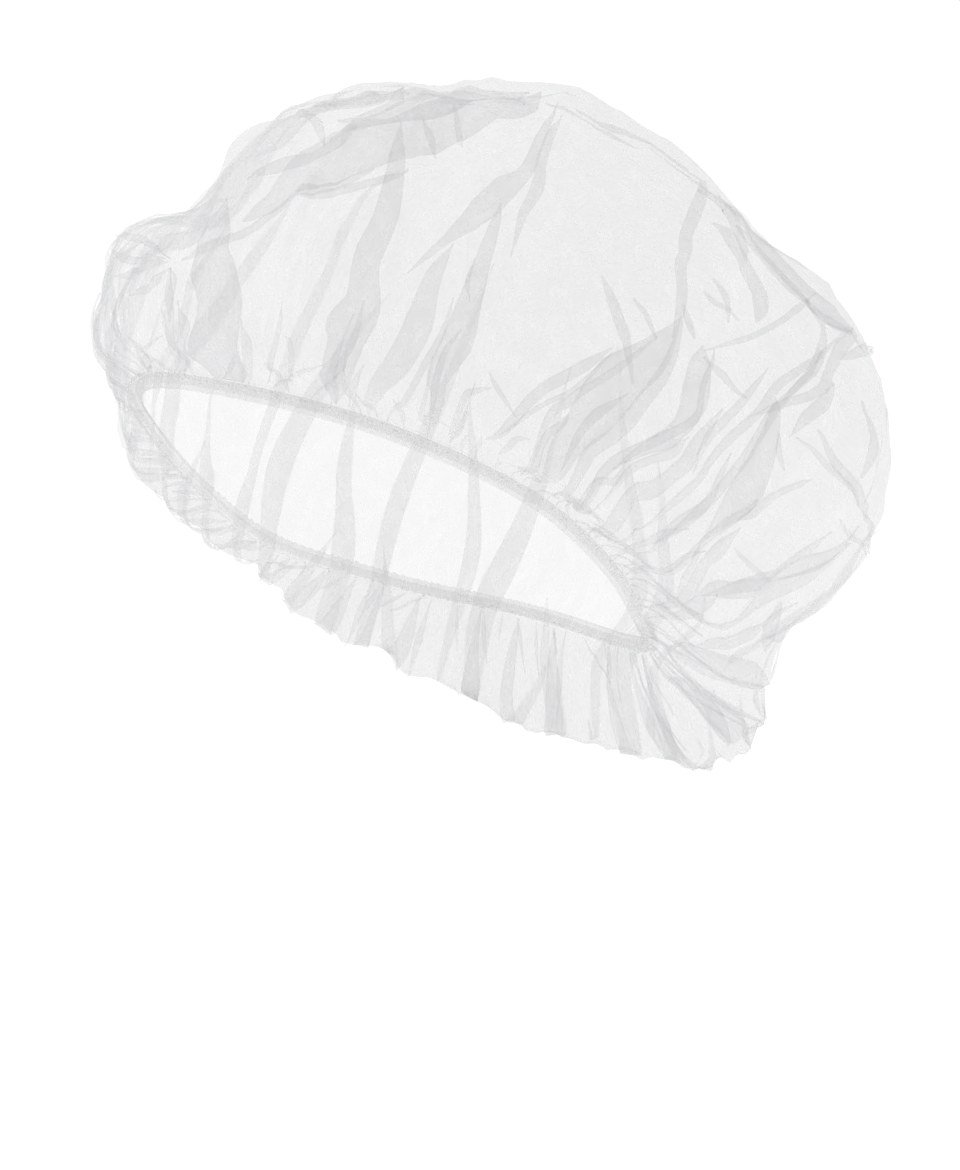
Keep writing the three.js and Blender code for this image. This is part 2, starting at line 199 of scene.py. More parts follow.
LAID_FOLDS = tuple(LaidFold(places) for places in (
    ((-96, 0.17, 0.6), (-112, 0.231, 2.8), (-120, 0.255, 3.7), (-133, 0.274, 1.1)),
    ((-97, 0.17, 0.9), (-102, 0.174, 2.1), (-110, 0.185, 3.3), (-128, 0.243, 0.9)),
    ((-96, 0.166, 0.6), (-99, 0.162, 3.7), (-105, 0.158, 5), (-111, 0.158, 1.1)),
    ((-95, 0.158, 1.4), (-97, 0.147, 2.3), (-99, 0.131, 2.7), (-102, 0.123, 1)),
    ((-95, 0.158, 0.7), (-94, 0.143, 2), (-94, 0.12, 2.4), (-94, 0.093, 1.1)),
    ((-94, 0.282, 1.7), (-91, 0.224, 11.8), (-89, 0.174, 14.3), (-87, 0.116, 16.3), (-89, 0.031, 17.7),
     (-91, 0, 17)),
    ((-94, 0.17, 1.8), (-87, 0.208, 3.7), (-84, 0.258, 2.9), (-82, 0.289, 3.8), (-77, 0.324, 2.6),
     (-74, 0.355, 1.1)),
    ((-87, 0.235, 2.8), (-85, 0.282, 10.2), (-82, 0.347, 23.6), (-77, 0.397, 23), (-73, 0.444, 17.5),
     (-70, 0.525, 20), (-65, 0.606, 24.2), (-57, 0.779, 7)),
    ((-83, 0.393, 1.6), (-78, 0.459, 9.5), (-75, 0.559, 17.2), (-72, 0.698, 17.8), (-62, 0.798, 6.7)),
    ((-95, 0.451, 2.4), (-90, 0.44, 3.6), (-86, 0.413, 2.8), (-83, 0.382, 1.2)),
    ((-98, 0.513, 3.3), (-100, 0.579, 8.9), (-96, 0.613, 10), (-89, 0.64, 4.4)),
    ((-84, 0.432, 2.2), (-82, 0.471, 7), (-82, 0.552, 5.4), (-94, 0.683, 1.8)),
    ((-75, 0.459, 0.9), (-72, 0.386, 4.9), (-70, 0.305, 7.2), (-70, 0.235, 7.9), (-69, 0.189, 10.8),
     (-70, 0.154, 12.8), (-70, 0.12, 9.4), (-72, 0.004, 5.9)),
    ((-69, 0.193, 0.9), (-69, 0.15, 2), (-70, 0.104, 2.3), (-72, 0.004, 1.5)),
    ((-61, 0.301, 1.2), (-62, 0.251, 5.1), (-62, 0.201, 8.1), (-63, 0.15, 7.4), (-65, 0.104, 4.5),
     (-67, 0, 1.4)),
    ((-59, 0.243, 0.8), (-59, 0.204, 1.7), (-60, 0.158, 2), (-61, 0.112, 1.7), (-64, 0, 0.9)),
    ((-57, 0.382, 0.9), (-57, 0.347, 2.9), (-57, 0.293, 4.9), (-57, 0.239, 7.3), (-57, 0.201, 9),
     (-58, 0.154, 6.5), (-57, 0.123, 3.4), (-57, 0.004, 1.6)),
    ((-57, 0.216, 0.8), (-58, 0.185, 1.7), (-58, 0.147, 2.4), (-57, 0.104, 1.3)),
    ((-65, 0.243, 1.2), (-62, 0.301, 2.4), (-59, 0.359, 8), (-57, 0.409, 7.6), (-55, 0.444, 4.3),
     (-54, 0.513, 3.1), (-51, 0.694, 1.3)),
    ((-54, 0.316, 0.9), (-54, 0.374, 2.6), (-53, 0.424, 4.1), (-53, 0.498, 3), (-50, 0.64, 1.2)),
    ((-49, 0.093, 2), (-47, 0.158, 3), (-45, 0.204, 3.2), (-41, 0.251, 3.2), (-38, 0.289, 1.3)),
    ((-37, 0.069, 2.6), (-39, 0.154, 8.4), (-38, 0.204, 13.4), (-36, 0.258, 15.2), (-32, 0.312, 9.5),
     (-29, 0.37, 1.4)),
    ((-48, 0.131, 0.9), (-45, 0.181, 1.3), (-41, 0.228, 1.4), (-38, 0.282, 0.8)),
    ((-40, 0.054, 1), (-43, 0.17, 2.3), (-41, 0.216, 2.5), (-37, 0.266, 2.2), (-32, 0.332, 0.8)),
    ((-33, 0.066, 1.3), (-36, 0.162, 3.7), (-34, 0.208, 4.1), (-32, 0.258, 3.9), (-30, 0.312, 3.5),
     (-29, 0.363, 1.2)),
    ((-30, 0.093, 1.3), (-33, 0.162, 3), (-30, 0.212, 3.9), (-26, 0.255, 6.7), (-25, 0.293, 10.7),
     (-25, 0.324, 9), (-25, 0.355, 3.2)),
    ((-32, 0.177, 0.9), (-29, 0.228, 2.9), (-24, 0.274, 2.5), (-24, 0.312, 2.1), (-23, 0.359, 0.9)),
    ((-13, 0, 2.4), (-27, 0.147, 5.9), (-25, 0.189, 6), (-23, 0.228, 5.9), (-22, 0.262, 5),
     (-20, 0.305, 2)),
    ((-21, 0.228, 1.5), (-21, 0.266, 3.6), (-19, 0.297, 3.3), (-16, 0.339, 2.4), (-12, 0.39, 0.9)),
    ((-23, 0.139, 1.6), (-20, 0.204, 3.4), (-18, 0.27, 3.1), (-14, 0.328, 2.7), (-8, 0.397, 2.5),
     (13, 0.532, 1.1)),
    ((-18, 0.139, 1.6), (-16, 0.201, 3.2), (-14, 0.266, 3.5), (-12, 0.328, 3.1), (-8, 0.378, 2),
     (1, 0.459, 0.9)),
    ((-13, 0.177, 2.2), (-12, 0.224, 8.9), (-11, 0.266, 12.6), (-11, 0.305, 8.9), (-11, 0.343, 3.6),
     (-11, 0.359, 1.4)),
    ((-15, 0.32, 1.1), (-10, 0.355, 2.2), (-4, 0.39, 2.8), (-1, 0.417, 4.1), (10, 0.501, 4.4),
     (16, 0.544, 1.7)),
    ((-8, 0.328, 0.9), (-6, 0.355, 3.5), (-3, 0.382, 4.1), (-1, 0.409, 1.7)),
    ((8, 0.478, 2.4), (15, 0.509, 3.8), (23, 0.54, 3.6)),
    ((-10, 0.648, 4.4), (-2, 0.633, 15.6), (2, 0.609, 17.8), (5, 0.582, 20), (12, 0.544, 15.7),
     (15, 0.536, 4)),
    ((-11, 0.586, 4.1), (-3, 0.582, 10.5), (2, 0.555, 9.7), (9, 0.536, 5.2), (13, 0.525, 3.6)),
    ((-21, 0.54, 3.8), (-16, 0.528, 12.9), (-13, 0.505, 15.2), (-12, 0.478, 7.8), (-13, 0.444, 3.3)),
    ((-8, 0.729, 3), (-25, 0.536, 4.2), (-28, 0.463, 3.5), (-29, 0.397, 3.2), (-30, 0.339, 1.5)),
    ((-46, 0.702, 4.4), (-29, 0.76, 8.9), (-17, 0.744, 10), (-6, 0.741, 5.6)),
    ((-20, 0.606, 3.2), (-13, 0.609, 11.1), (-11, 0.575, 10.1), (-12, 0.532, 2.9)),
    ((-25, 0.347, 0.8), (-16, 0.409, 1.7), (-1, 0.509, 2), (12, 0.579, 1.1)),
    ((-25, 0.339, 1.3), (-21, 0.332, 2), (-16, 0.336, 1.2)),
    ((-29, 0.386, 1.2), (-28, 0.366, 3), (-27, 0.351, 1.6)),
    ((-41, 0.37, 1.6), (-39, 0.343, 3.5), (-37, 0.309, 3.3), (-34, 0.266, 1.4)),
    ((18, 0.004, 2.5), (-2, 0.135, 6.3), (-1, 0.17, 5.6), (4, 0.201, 8.5), (13, 0.258, 7.6),
     (16, 0.324, 2.1)),
    ((22, 0.004, 1.8), (6, 0.104, 4.1), (9, 0.189, 5.7), (15, 0.247, 8.2), (16, 0.305, 2.7)),
    ((5, 0.062, 1.1), (-8, 0.154, 5.5), (-9, 0.185, 7.7), (-9, 0.22, 1.7)),
    ((-2, 0.104, 0.9), (-9, 0.139, 2.1), (-12, 0.166, 2.2), (-13, 0.177, 1.1)),
    ((-4, 0.351, 1.5), (2, 0.339, 2.8), (9, 0.336, 3.1), (18, 0.339, 2.4)),
    ((16, 0.339, 2.3), (25, 0.343, 3.4), (37, 0.37, 3)),
    ((-10, 0.224, 2.7), (-8, 0.251, 3.2), (-6, 0.274, 3), (-3, 0.297, 2.4), (-1, 0.312, 1.1)),
    ((-10, 0.324, 1.3), (-9, 0.309, 2), (-7, 0.297, 1.1)),
    ((-7, 0.201, 0.9), (-2, 0.201, 1.6), (5, 0.204, 0.9)),
    ((31, 0.019, 3), (21, 0.073, 10.9), (18, 0.12, 15.5), (23, 0.15, 4.9)),
    ((15, 0.212, 2.7), (17, 0.189, 10.7), (18, 0.166, 7)),
    ((47, 0.031, 6.7), (45, 0.066, 15.7), (46, 0.1, 16.4), (45, 0.131, 13.9)),
    ((57, 0.023, 1.6), (65, 0.05, 3.7), (69, 0.089, 3.3), (70, 0.12, 1.7)),
    ((44, 0.054, 2.7), (45, 0.085, 5.1), (48, 0.112, 4.9), (51, 0.127, 2.5)),
    ((-54, 0.066, 1.2), (-54, 0.147, 2), (-53, 0.162, 1.9), (-51, 0.177, 0.8)),
    ((-52, 0.189, 1), (-50, 0.177, 1.6), (-47, 0.162, 1)),
    ((-78, 0.154, 0.9), (-78, 0.12, 1.9), (-79, 0.081, 1.8), (-82, 0.008, 0.9)),
    ((-77, 0.12, 1.1), (-76, 0.112, 2.1), (-76, 0.089, 1.6), (-78, 0.023, 0.9)),
    ((-78, 0.042, 1), (-75, 0.085, 1.3), (-72, 0.104, 0.7)),
    ((-95, 0.158, 1.7), (-94, 0.108, 3.2), (-95, 0.058, 3.2), (-99, 0, 2.2)),
    ((-104, 0.073, 2), (-104, 0.046, 4.7), (-108, 0.012, 5.9), (-107, 0, 3.7)),
    ((-105, 0.042, 0.9), (-100, 0.058, 1.3), (-96, 0.073, 0.8)),
    ((-93, 0.12, 0.9), (-92, 0.085, 2.8), (-96, 0.023, 3.5), (-98, 0, 2.8)),
    ((-108, 0.123, 2.5), (-108, 0.085, 3.9), (-121, 0.039, 2.3), (-147, 0.05, 2)),
    ((-53, 0.019, 1), (-53, 0.123, 1.5), (-53, 0.139, 0.9)),
    ((-45, 0.05, 1.6), (-46, 0.131, 1.9), (-44, 0.15, 0.8)),
    ((-37, 0.023, 1.4), (-42, 0.143, 2.8), (-41, 0.185, 2.1), (-41, 0.197, 1)),
    ((-24, 0.012, 1.7), (-33, 0.139, 2.3), (-31, 0.17, 2.1), (-31, 0.193, 0.9)),
    ((-13, 0.004, 3.2), (-14, 0.035, 4.5), (-23, 0.143, 1.5)),
    ((-1, 0, 2), (-17, 0.1, 2.4), (-19, 0.147, 3.5), (-16, 0.181, 1)),
    ((6, 0, 2.2), (-8, 0.089, 2.8), (-13, 0.15, 3), (-11, 0.177, 1)),
    ((-36, 0.363, 1.1), (-34, 0.347, 2), (-32, 0.328, 0.9)),
    ((-23, 0.451, 1.4), (-21, 0.432, 2.6), (-21, 0.401, 1.2)),
    ((-25, 0.424, 1.4), (-23, 0.417, 1.9), (-18, 0.42, 1.1)),
    ((-7, 0.332, 0.9), (1, 0.332, 1.8), (11, 0.332, 0.8)),
    ((10, 0.309, 0.8), (17, 0.312, 1.7), (35, 0.355, 0.8)),
    ((17, 0.177, 0.9), (22, 0.201, 5.1), (23, 0.224, 2.1)),
    ((-16, 0.108, 0.9), (-18, 0.166, 3), (-16, 0.208, 3.5), (-16, 0.243, 2.2), (-16, 0.274, 1.1)),
    ((-9, 0.1, 1), (-13, 0.162, 3.3), (-11, 0.216, 3.4), (-9, 0.255, 1.3)),
    ((-31, 0.139, 1), (-30, 0.189, 2.3), (-26, 0.231, 3.3), (-24, 0.255, 1.1)),
    ((-38, 0.139, 1), (-38, 0.181, 2.5), (-37, 0.216, 2.9), (-34, 0.255, 1.1)),
    ((-70, 0.004, 0.9), (-68, 0.093, 1.7), (-67, 0.127, 0.9)),
    ((-85, 0, 1), (-82, 0.081, 2.8), (-83, 0.116, 1.1)),
    ((-4, 0.139, 1.3), (-1, 0.177, 4), (6, 0.239, 11.1), (10, 0.293, 4.4)),
    ((18, 0.066, 1.1), (10, 0.131, 5.3), (14, 0.185, 3.4), (19, 0.228, 2)),
    ((-57, 0.247, 0.9), (-58, 0.266, 1.5), (-58, 0.297, 0.9)),
    ((-81, 0.285, 1.5), (-78, 0.305, 3.4), (-73, 0.336, 2.7), (-70, 0.378, 1)),
    ((-91, 0.305, 1.6), (-87, 0.347, 4.7), (-82, 0.378, 6.7), (-80, 0.42, 2.1)),
    ((-73, 0.494, 1.2), (-70, 0.459, 2.7), (-68, 0.432, 1)),
    ((-71, 0.571, 1.1), (-67, 0.505, 2.2), (-65, 0.463, 0.9)),
    ((7, 0.555, 2.3), (4, 0.49, 3.7), (-6, 0.397, 2.3), (-10, 0.359, 0.8)),
    ((10, 0.436, 2.1), (9, 0.39, 6.2), (7, 0.347, 2.8)),
    ((32, 0, 2.9), (29, 0.056, 6.7), (26, 0.1, 8.4), (24, 0.15, 5), (22, 0.2, 0.5)),
    ((76, 0, 3.3), (78, 0.14, 7.6), (80, 0.25, 9.5), (81, 0.375, 5.7), (82, 0.5, 0.5)),
    ((90, 0, 2.6), (90, 0.084, 6), (91, 0.15, 7.5), (94, 0.225, 4.5), (98, 0.3, 0.5)),
    ((104, 0, 3.3), (105, 0.162, 7.6), (106, 0.29, 9.5), (103, 0.435, 5.7), (100, 0.58, 0.5)),
    ((115, 0, 2.3), (116, 0.073, 5.2), (118, 0.13, 6.5), (121, 0.195, 3.9), (124, 0.26, 0.5)),
    ((128, 0, 3), (129, 0.123, 6.8), (130, 0.22, 8.5), (134, 0.33, 5.1), (137, 0.44, 0.5)),
    ((142, 0, 3.1), (143, 0.157, 7.2), (144, 0.28, 9), (142, 0.42, 5.4), (139, 0.56, 0.5)),
    ((154, 0, 2.3), (156, 0.09, 5.2), (157, 0.16, 6.5), (160, 0.24, 3.9), (163, 0.32, 0.5)),
    ((168, 0, 3.3), (170, 0.168, 7.6), (172, 0.3, 9.5), (170, 0.45, 5.7), (168, 0.6, 0.5)),
    ((183, 0, 2.4), (184, 0.095, 5.6), (184, 0.17, 7), (187, 0.255, 4.2), (190, 0.34, 0.5)),
    ((194, 0, 3.1), (196, 0.146, 7.2), (198, 0.26, 9), (200, 0.39, 5.4), (203, 0.52, 0.5)),
    ((209, 0, 2.1), (210, 0.112, 4.8), (210, 0.2, 6), (208, 0.3, 3.6), (205, 0.4, 0.5)),
    ((224, 0, 1.8), (225, 0.129, 4), (226, 0.23, 5), (222, 0.345, 3), (219, 0.46, 0.5)),
    ((240, 0, 1.4), (240, 0.067, 3.2), (241, 0.12, 4), (238, 0.18, 2.4), (236, 0.24, 0.5)),
    ((60, 0, 2.1), (62, 0.062, 4.8), (64, 0.11, 6), (61, 0.165, 3.6), (58, 0.22, 0.5)),
    ((68, 0, 2.4), (69, 0.101, 5.6), (70, 0.18, 7), (72, 0.27, 4.2), (74, 0.36, 0.5)),
    ((84, 0.1, 2.1), (84, 0.246, 4.8), (85, 0.36, 6), (88, 0.49, 3.6), (90, 0.62, 0.5)),
    ((97, 0, 1.8), (98, 0.067, 4), (98, 0.12, 5), (95, 0.18, 3), (92, 0.24, 0.5)),
    ((110, 0.12, 2.1), (110, 0.226, 4.8), (111, 0.31, 6), (114, 0.405, 3.6), (118, 0.5, 0.5)),
    ((122, 0, 2.4), (123, 0.185, 5.6), (124, 0.33, 7), (122, 0.495, 4.2), (120, 0.66, 0.5)),
    ((135, 0, 1.8), (136, 0.067, 4), (136, 0.12, 5), (134, 0.18, 3), (132, 0.24, 0.5)),
    ((148, 0.05, 2.4), (149, 0.238, 5.6), (150, 0.385, 7), (152, 0.552, 4.2), (155, 0.72, 0.5)),
    ((161, 0, 1.8), (162, 0.067, 4), (163, 0.12, 5), (162, 0.18, 3), (160, 0.24, 0.5)),
    ((176, 0.1, 2.1), (177, 0.212, 4.8), (178, 0.3, 6), (180, 0.4, 3.6), (182, 0.5, 0.5)),
    ((189, 0, 1.8), (190, 0.062, 4), (190, 0.11, 5), (188, 0.165, 3), (186, 0.22, 0.5)),
    ((201, 0.1, 2.4), (202, 0.246, 5.6), (204, 0.36, 7), (207, 0.49, 4.2), (210, 0.62, 0.5)),
))

PEAKS = tuple(Peak(*row) for row in (
    (23, 0.51, 50, 8), (35, 0.42, 55, -8), (23, 0.56, 35, 3), (-18, 0.89, 36, 3.5), (10, 0.81, 28, 2.5),
    (-104, 0.69, 24, 2.5), (-88, 0.87, 28, 1.5), (-43, 0.86, 28, 3), (-102, 0.38, 38, 4),
    (-98, 0.42, 28, 1), (44, 0.15, 40, -4), (-130, 0.28, 50, -3), (-123, 0.33, 34, -2),
    (-142, 0.15, 60, -9), (38, 0.37, 24, 2), (35, 0.29, 22, 2), (23, 0.62, 30, 3), (-5, 0.85, 30, -2),
    (75, 0.52, 34, 4), (112, 0.6, 38, 4), (140, 0.44, 32, 3), (168, 0.62, 38, 4), (200, 0.5, 32, 3),
    (226, 0.64, 36, 4),
))

ROSETTES = (Rosette(-94, 0.18, 24, 2, 9),)


class BagForm:
    """The smooth form of the worn cap, worked out from the loop of the hem and the section table."""

    half_breadth = 76.0
    half_length = 114.0
    tilt = math.radians(32)
    reach = 156.0
    height = 145.0
    climb = 2 * height
    crown_back = 8.0
    samples = 280
    line_steps = 400

    def __init__(self, columns: int) -> None:
        """Works out the profile of every column.

        Args:
            columns: how many columns of cloth go round the loop.
        """
        around = np.linspace(0, 2 * np.pi, columns, endpoint=False)
        along = self.half_length * np.sin(around)
        across = self.half_breadth * np.cos(around)
        self.angles = np.degrees(np.arctan2(along, across))
        self.lines = self._profiles(self.angles)
        steps = np.linalg.norm(np.diff(self.lines, axis=1), axis=2)
        self.distances = np.concatenate([np.zeros((columns, 1)), np.cumsum(steps, axis=1)], axis=1)
        self.lengths = self.distances[:, -1]
        self.even = self._even_lines()

    def loop_radius(self, angles: np.ndarray) -> np.ndarray:
        """Radius of the loop at angles round its axis, in millimetres."""
        across = np.cos(np.radians(angles)) / self.half_breadth
        along = np.sin(np.radians(angles)) / self.half_length
        return 1 / np.hypot(across, along)

    def angle_of(self, bearing: np.ndarray) -> np.ndarray:
        """Angle round the loop's axis, in degrees, of a bearing on the flat cloth."""
        along, across = self.half_length * np.sin(bearing), self.half_breadth * np.cos(bearing)
        return np.degrees(np.arctan2(along, across))

    def column_of(self, angles: np.ndarray) -> np.ndarray:
        """Broken column number of an angle round the loop's axis."""
        along = np.sin(np.radians(angles)) / self.half_length
        across = np.cos(np.radians(angles)) / self.half_breadth
        return np.arctan2(along, across) / (2 * np.pi) * len(self.angles)

    @staticmethod
    def _periodic(places: np.ndarray, rows: np.ndarray, at: np.ndarray) -> np.ndarray:
        """Smooth closed reading of a table at any angle.

        Args:
            places: angle of each row, rising.
            rows: one row of numbers for each angle.
            at: angles to read at.

        Returns:
            One row of numbers for each angle read.
        """
        wide = np.concatenate([places - 360, places, places + 360])
        tall = np.concatenate([rows, rows, rows])
        slopes = np.zeros_like(tall)
        slopes[1:-1] = (tall[2:] - tall[:-2]) / (wide[2:] - wide[:-2])[:, None]
        wrapped = (at - places[0]) % 360 + places[0]
        k = np.searchsorted(wide, wrapped, side="right") - 1
        step = (wide[k + 1] - wide[k])[:, None]
        u = (wrapped - wide[k])[:, None] / step
        rise = u * u * (3 - 2 * u)
        bend = slopes[k] * step * u * (1 - u) ** 2 - slopes[k + 1] * step * u * u * (1 - u)
        return tall[k] + (tall[k + 1] - tall[k]) * rise + bend

    def _profiles(self, angles: np.ndarray) -> np.ndarray:
        """Middle line of the cloth from the loop to the top at each angle.

        Args:
            angles: angles round the loop's axis, in degrees.

        Returns:
            Points of each line in the loop's own frame, in millimetres.
        """
        places = np.array([section.angle for section in SECTIONS], float)
        rows = np.array([section.numbers(self.reach, self.height) for section in SECTIONS])
        table = self._periodic(places, rows, angles)
        outward = np.stack([np.cos(np.radians(angles)), np.sin(np.radians(angles))], axis=1)

        def place(out: np.ndarray, up: np.ndarray) -> np.ndarray:
            """Points at a distance out and up in each column's own direction."""
            return np.concatenate([outward * out[:, None], up[:, None]], axis=1)

        points = [place(self.loop_radius(angles), table[:, 0])]
        points += [place(table[:, k], table[:, k + 1]) for k in range(1, table.shape[1], 2)]
        top = np.array([0, self.crown_back, self.height])
        points.append(np.broadcast_to(top, points[0].shape))
        points.append(place(-table[:, -2], table[:, -1]))
        points.insert(0, 2 * points[0] - points[1])
        return self._centripetal(np.stack(points, axis=1))

    def _centripetal(self, points: np.ndarray) -> np.ndarray:
        """Centripetal curve through all points but the first and last of each row.

        Args:
            points: control points, one row for each line.

        Returns:
            Evenly read points of each line.
        """
        spans = points.shape[1] - 3
        gaps = np.linalg.norm(np.diff(points, axis=1), axis=2) ** 0.5
        each = self.samples // spans
        pieces = []
        for k in range(spans):
            u = np.linspace(0, 1, each + 1)[: None if k == spans - 1 else -1][None, :, None]
            p0, p1, p2, p3 = (points[:, k + j][:, None, :] for j in range(4))
            d0, d1, d2 = (gaps[:, k + j][:, None, None] for j in range(3))
            t1 = ((p1 - p0) / d0 - (p2 - p0) / (d0 + d1) + (p2 - p1) / d1) * d1
            t2 = ((p2 - p1) / d1 - (p3 - p1) / (d1 + d2) + (p3 - p2) / d2) * d1
            rise = u * u * (3 - 2 * u)
            pieces.append(p1 + (p2 - p1) * rise + t1 * u * (1 - u) ** 2 - t2 * u * u * (1 - u))
        return np.concatenate(pieces, axis=1)

    def read(self, columns: np.ndarray, distances: np.ndarray) -> np.ndarray:
        """Places on the smooth form.

        Args:
            columns: column numbers, whole or broken, closed round the loop.
            distances: distances from the loop along the cloth, in millimetres.

        Returns:
            Points in the loop's own frame, in millimetres.
        """
        count = len(self.angles)
        low = np.floor(columns).astype(int)
        part = (columns - low)[..., None]
        ends = []
        for index in (low % count, (low + 1) % count):
            share = distances / self.lengths[index]
            ends.append(self._on_line(index, np.clip(share, 0, 1)))
        return ends[0] * (1 - part) + ends[1] * part

    def _even_lines(self) -> np.ndarray:
        """Every column's line read again at even steps of its length."""
        shares = np.linspace(0, 1, self.line_steps + 1)
        even = np.empty((len(self.angles), self.line_steps + 1, 3))
        for i, (line, reached) in enumerate(zip(self.lines, self.distances)):
            for axis in range(3):
                even[i, :, axis] = np.interp(shares, reached / reached[-1], line[:, axis])
        return even

    def _on_line(self, index: np.ndarray, share: np.ndarray) -> np.ndarray:
        """Points at a share of the way along whole lines."""
        at = share * self.line_steps
        k = np.minimum(at.astype(int), self.line_steps - 1)
        part = (at - k)[..., None]
        return self.even[index, k] * (1 - part) + self.even[index, k + 1] * part

    def in_frame(self, points: np.ndarray) -> np.ndarray:
        """Turns millimetre points of the loop's frame into metres in the cap's frame."""
        c, s = math.cos(self.tilt), math.sin(self.tilt)
        turn = np.array([[1, 0, 0], [0, c, s], [0, -s, c]])
        return points @ turn.T * MM


def sway(around: np.ndarray, *waves: Triple) -> np.ndarray:
    """Sum of waves round the loop: each has a size, a count of turns and a lead in radians."""
    return sum(size * np.sin(2 * np.pi * turns * around + lead) for size, turns, lead in waves)


def degree_of_arc(points: np.ndarray) -> np.ndarray:
    """Millimetres in one degree round the loop's axis at each point, held up near the axis."""
    return np.radians(1) * np.maximum(np.hypot(points[..., 0], points[..., 1]), LEAST_RADIUS)


def turn_between(start: np.ndarray, end: np.ndarray) -> np.ndarray:
    """Shortest signed turn between angles, in degrees."""
    return (end - start + 180) % 360 - 180


def grid_faces(columns: int, rows: int, closed_rows: bool = False) -> np.ndarray:
    """Four-cornered faces of a grid that closes round its columns.

    Args:
        columns: number of columns.
        rows: number of points up each column.
        closed_rows: whether the last row also joins the first.

    Returns:
        One row of four point numbers for each face.
    """
    i = np.arange(columns)[:, None]
    k = np.arange(rows if closed_rows else rows - 1)[None, :]
    here, beside = i * rows, (i + 1) % columns * rows
    above = (k + 1) % rows
    corners = np.broadcast_arrays(here + k, beside + k, beside + above, here + above)
    return np.stack(corners, axis=-1).reshape(-1, 4)


def mesh_piece(name: str, points: np.ndarray, faces: list[list[int]]) -> bpy.types.Object:
    """A smooth-shaded mesh object at the origin.

    Args:
        name: the piece's name.
        points: its points in metres.
        faces: point numbers of each face.

    Returns:
        The new object, linked to the scene.
    """
    mesh = bpy.data.meshes.new(name)
    mesh.from_pydata(points.tolist(), [], faces)
    mesh.validate()
    mesh.polygons.foreach_set("use_smooth", [True] * len(mesh.polygons))
    mesh.update()
    piece = bpy.data.objects.new(name, mesh)
    bpy.context.scene.collection.objects.link(piece)
    return piece


def swept_tape(name: str, form: BagForm, rows: list[np.ndarray], closed: bool) -> bpy.types.Object:
    """A section swept round the loop.

    Args:
        name: the piece's name.
        form: the form whose frame the rows are in.
        rows: the places of each corner of the section round the loop, in millimetres.
        closed: whether the last corner also joins the first.

    Returns:
        The new piece.
    """
    grid = np.stack(rows, axis=1)
    faces = grid_faces(len(grid), len(rows), closed_rows=closed)[:, ::-1].tolist()
    return mesh_piece(name, form.in_frame(grid.reshape(-1, 3)), faces)


def tape_map(edge: np.ndarray, heights: list[float], slack: float = 1.0) -> np.ndarray:
    """Places on the flat tape, in metres.

    Args:
        edge: points of the tape's edge round the loop, in millimetres.
        heights: how far up the flat tape each corner of the section lies, in millimetres.
        slack: length of flat cloth to each length of edge.

    Returns:
        Two numbers for each point of the swept tape.
    """
    loop = np.concatenate([[0], np.cumsum(np.linalg.norm(np.diff(edge, axis=0), axis=1))])
    flat = np.broadcast_arrays(loop[:, None] * slack, np.array(heights)[None, :])
    return np.stack(flat, axis=-1).reshape(-1, 2) * MM


def add_cloth_map(piece: bpy.types.Object, flat: np.ndarray) -> None:
    """Stores where each point lies on the flat cloth, in metres, as the piece's map.

    Args:
        piece: the mesh object.
        flat: two numbers for each point.
    """
    layer = piece.data.uv_layers.new(name="cloth")
    corners = np.empty(len(piece.data.loops), dtype=np.int64)
    piece.data.loops.foreach_get("vertex_index", corners)
    layer.data.foreach_set("uv", flat[corners].ravel())


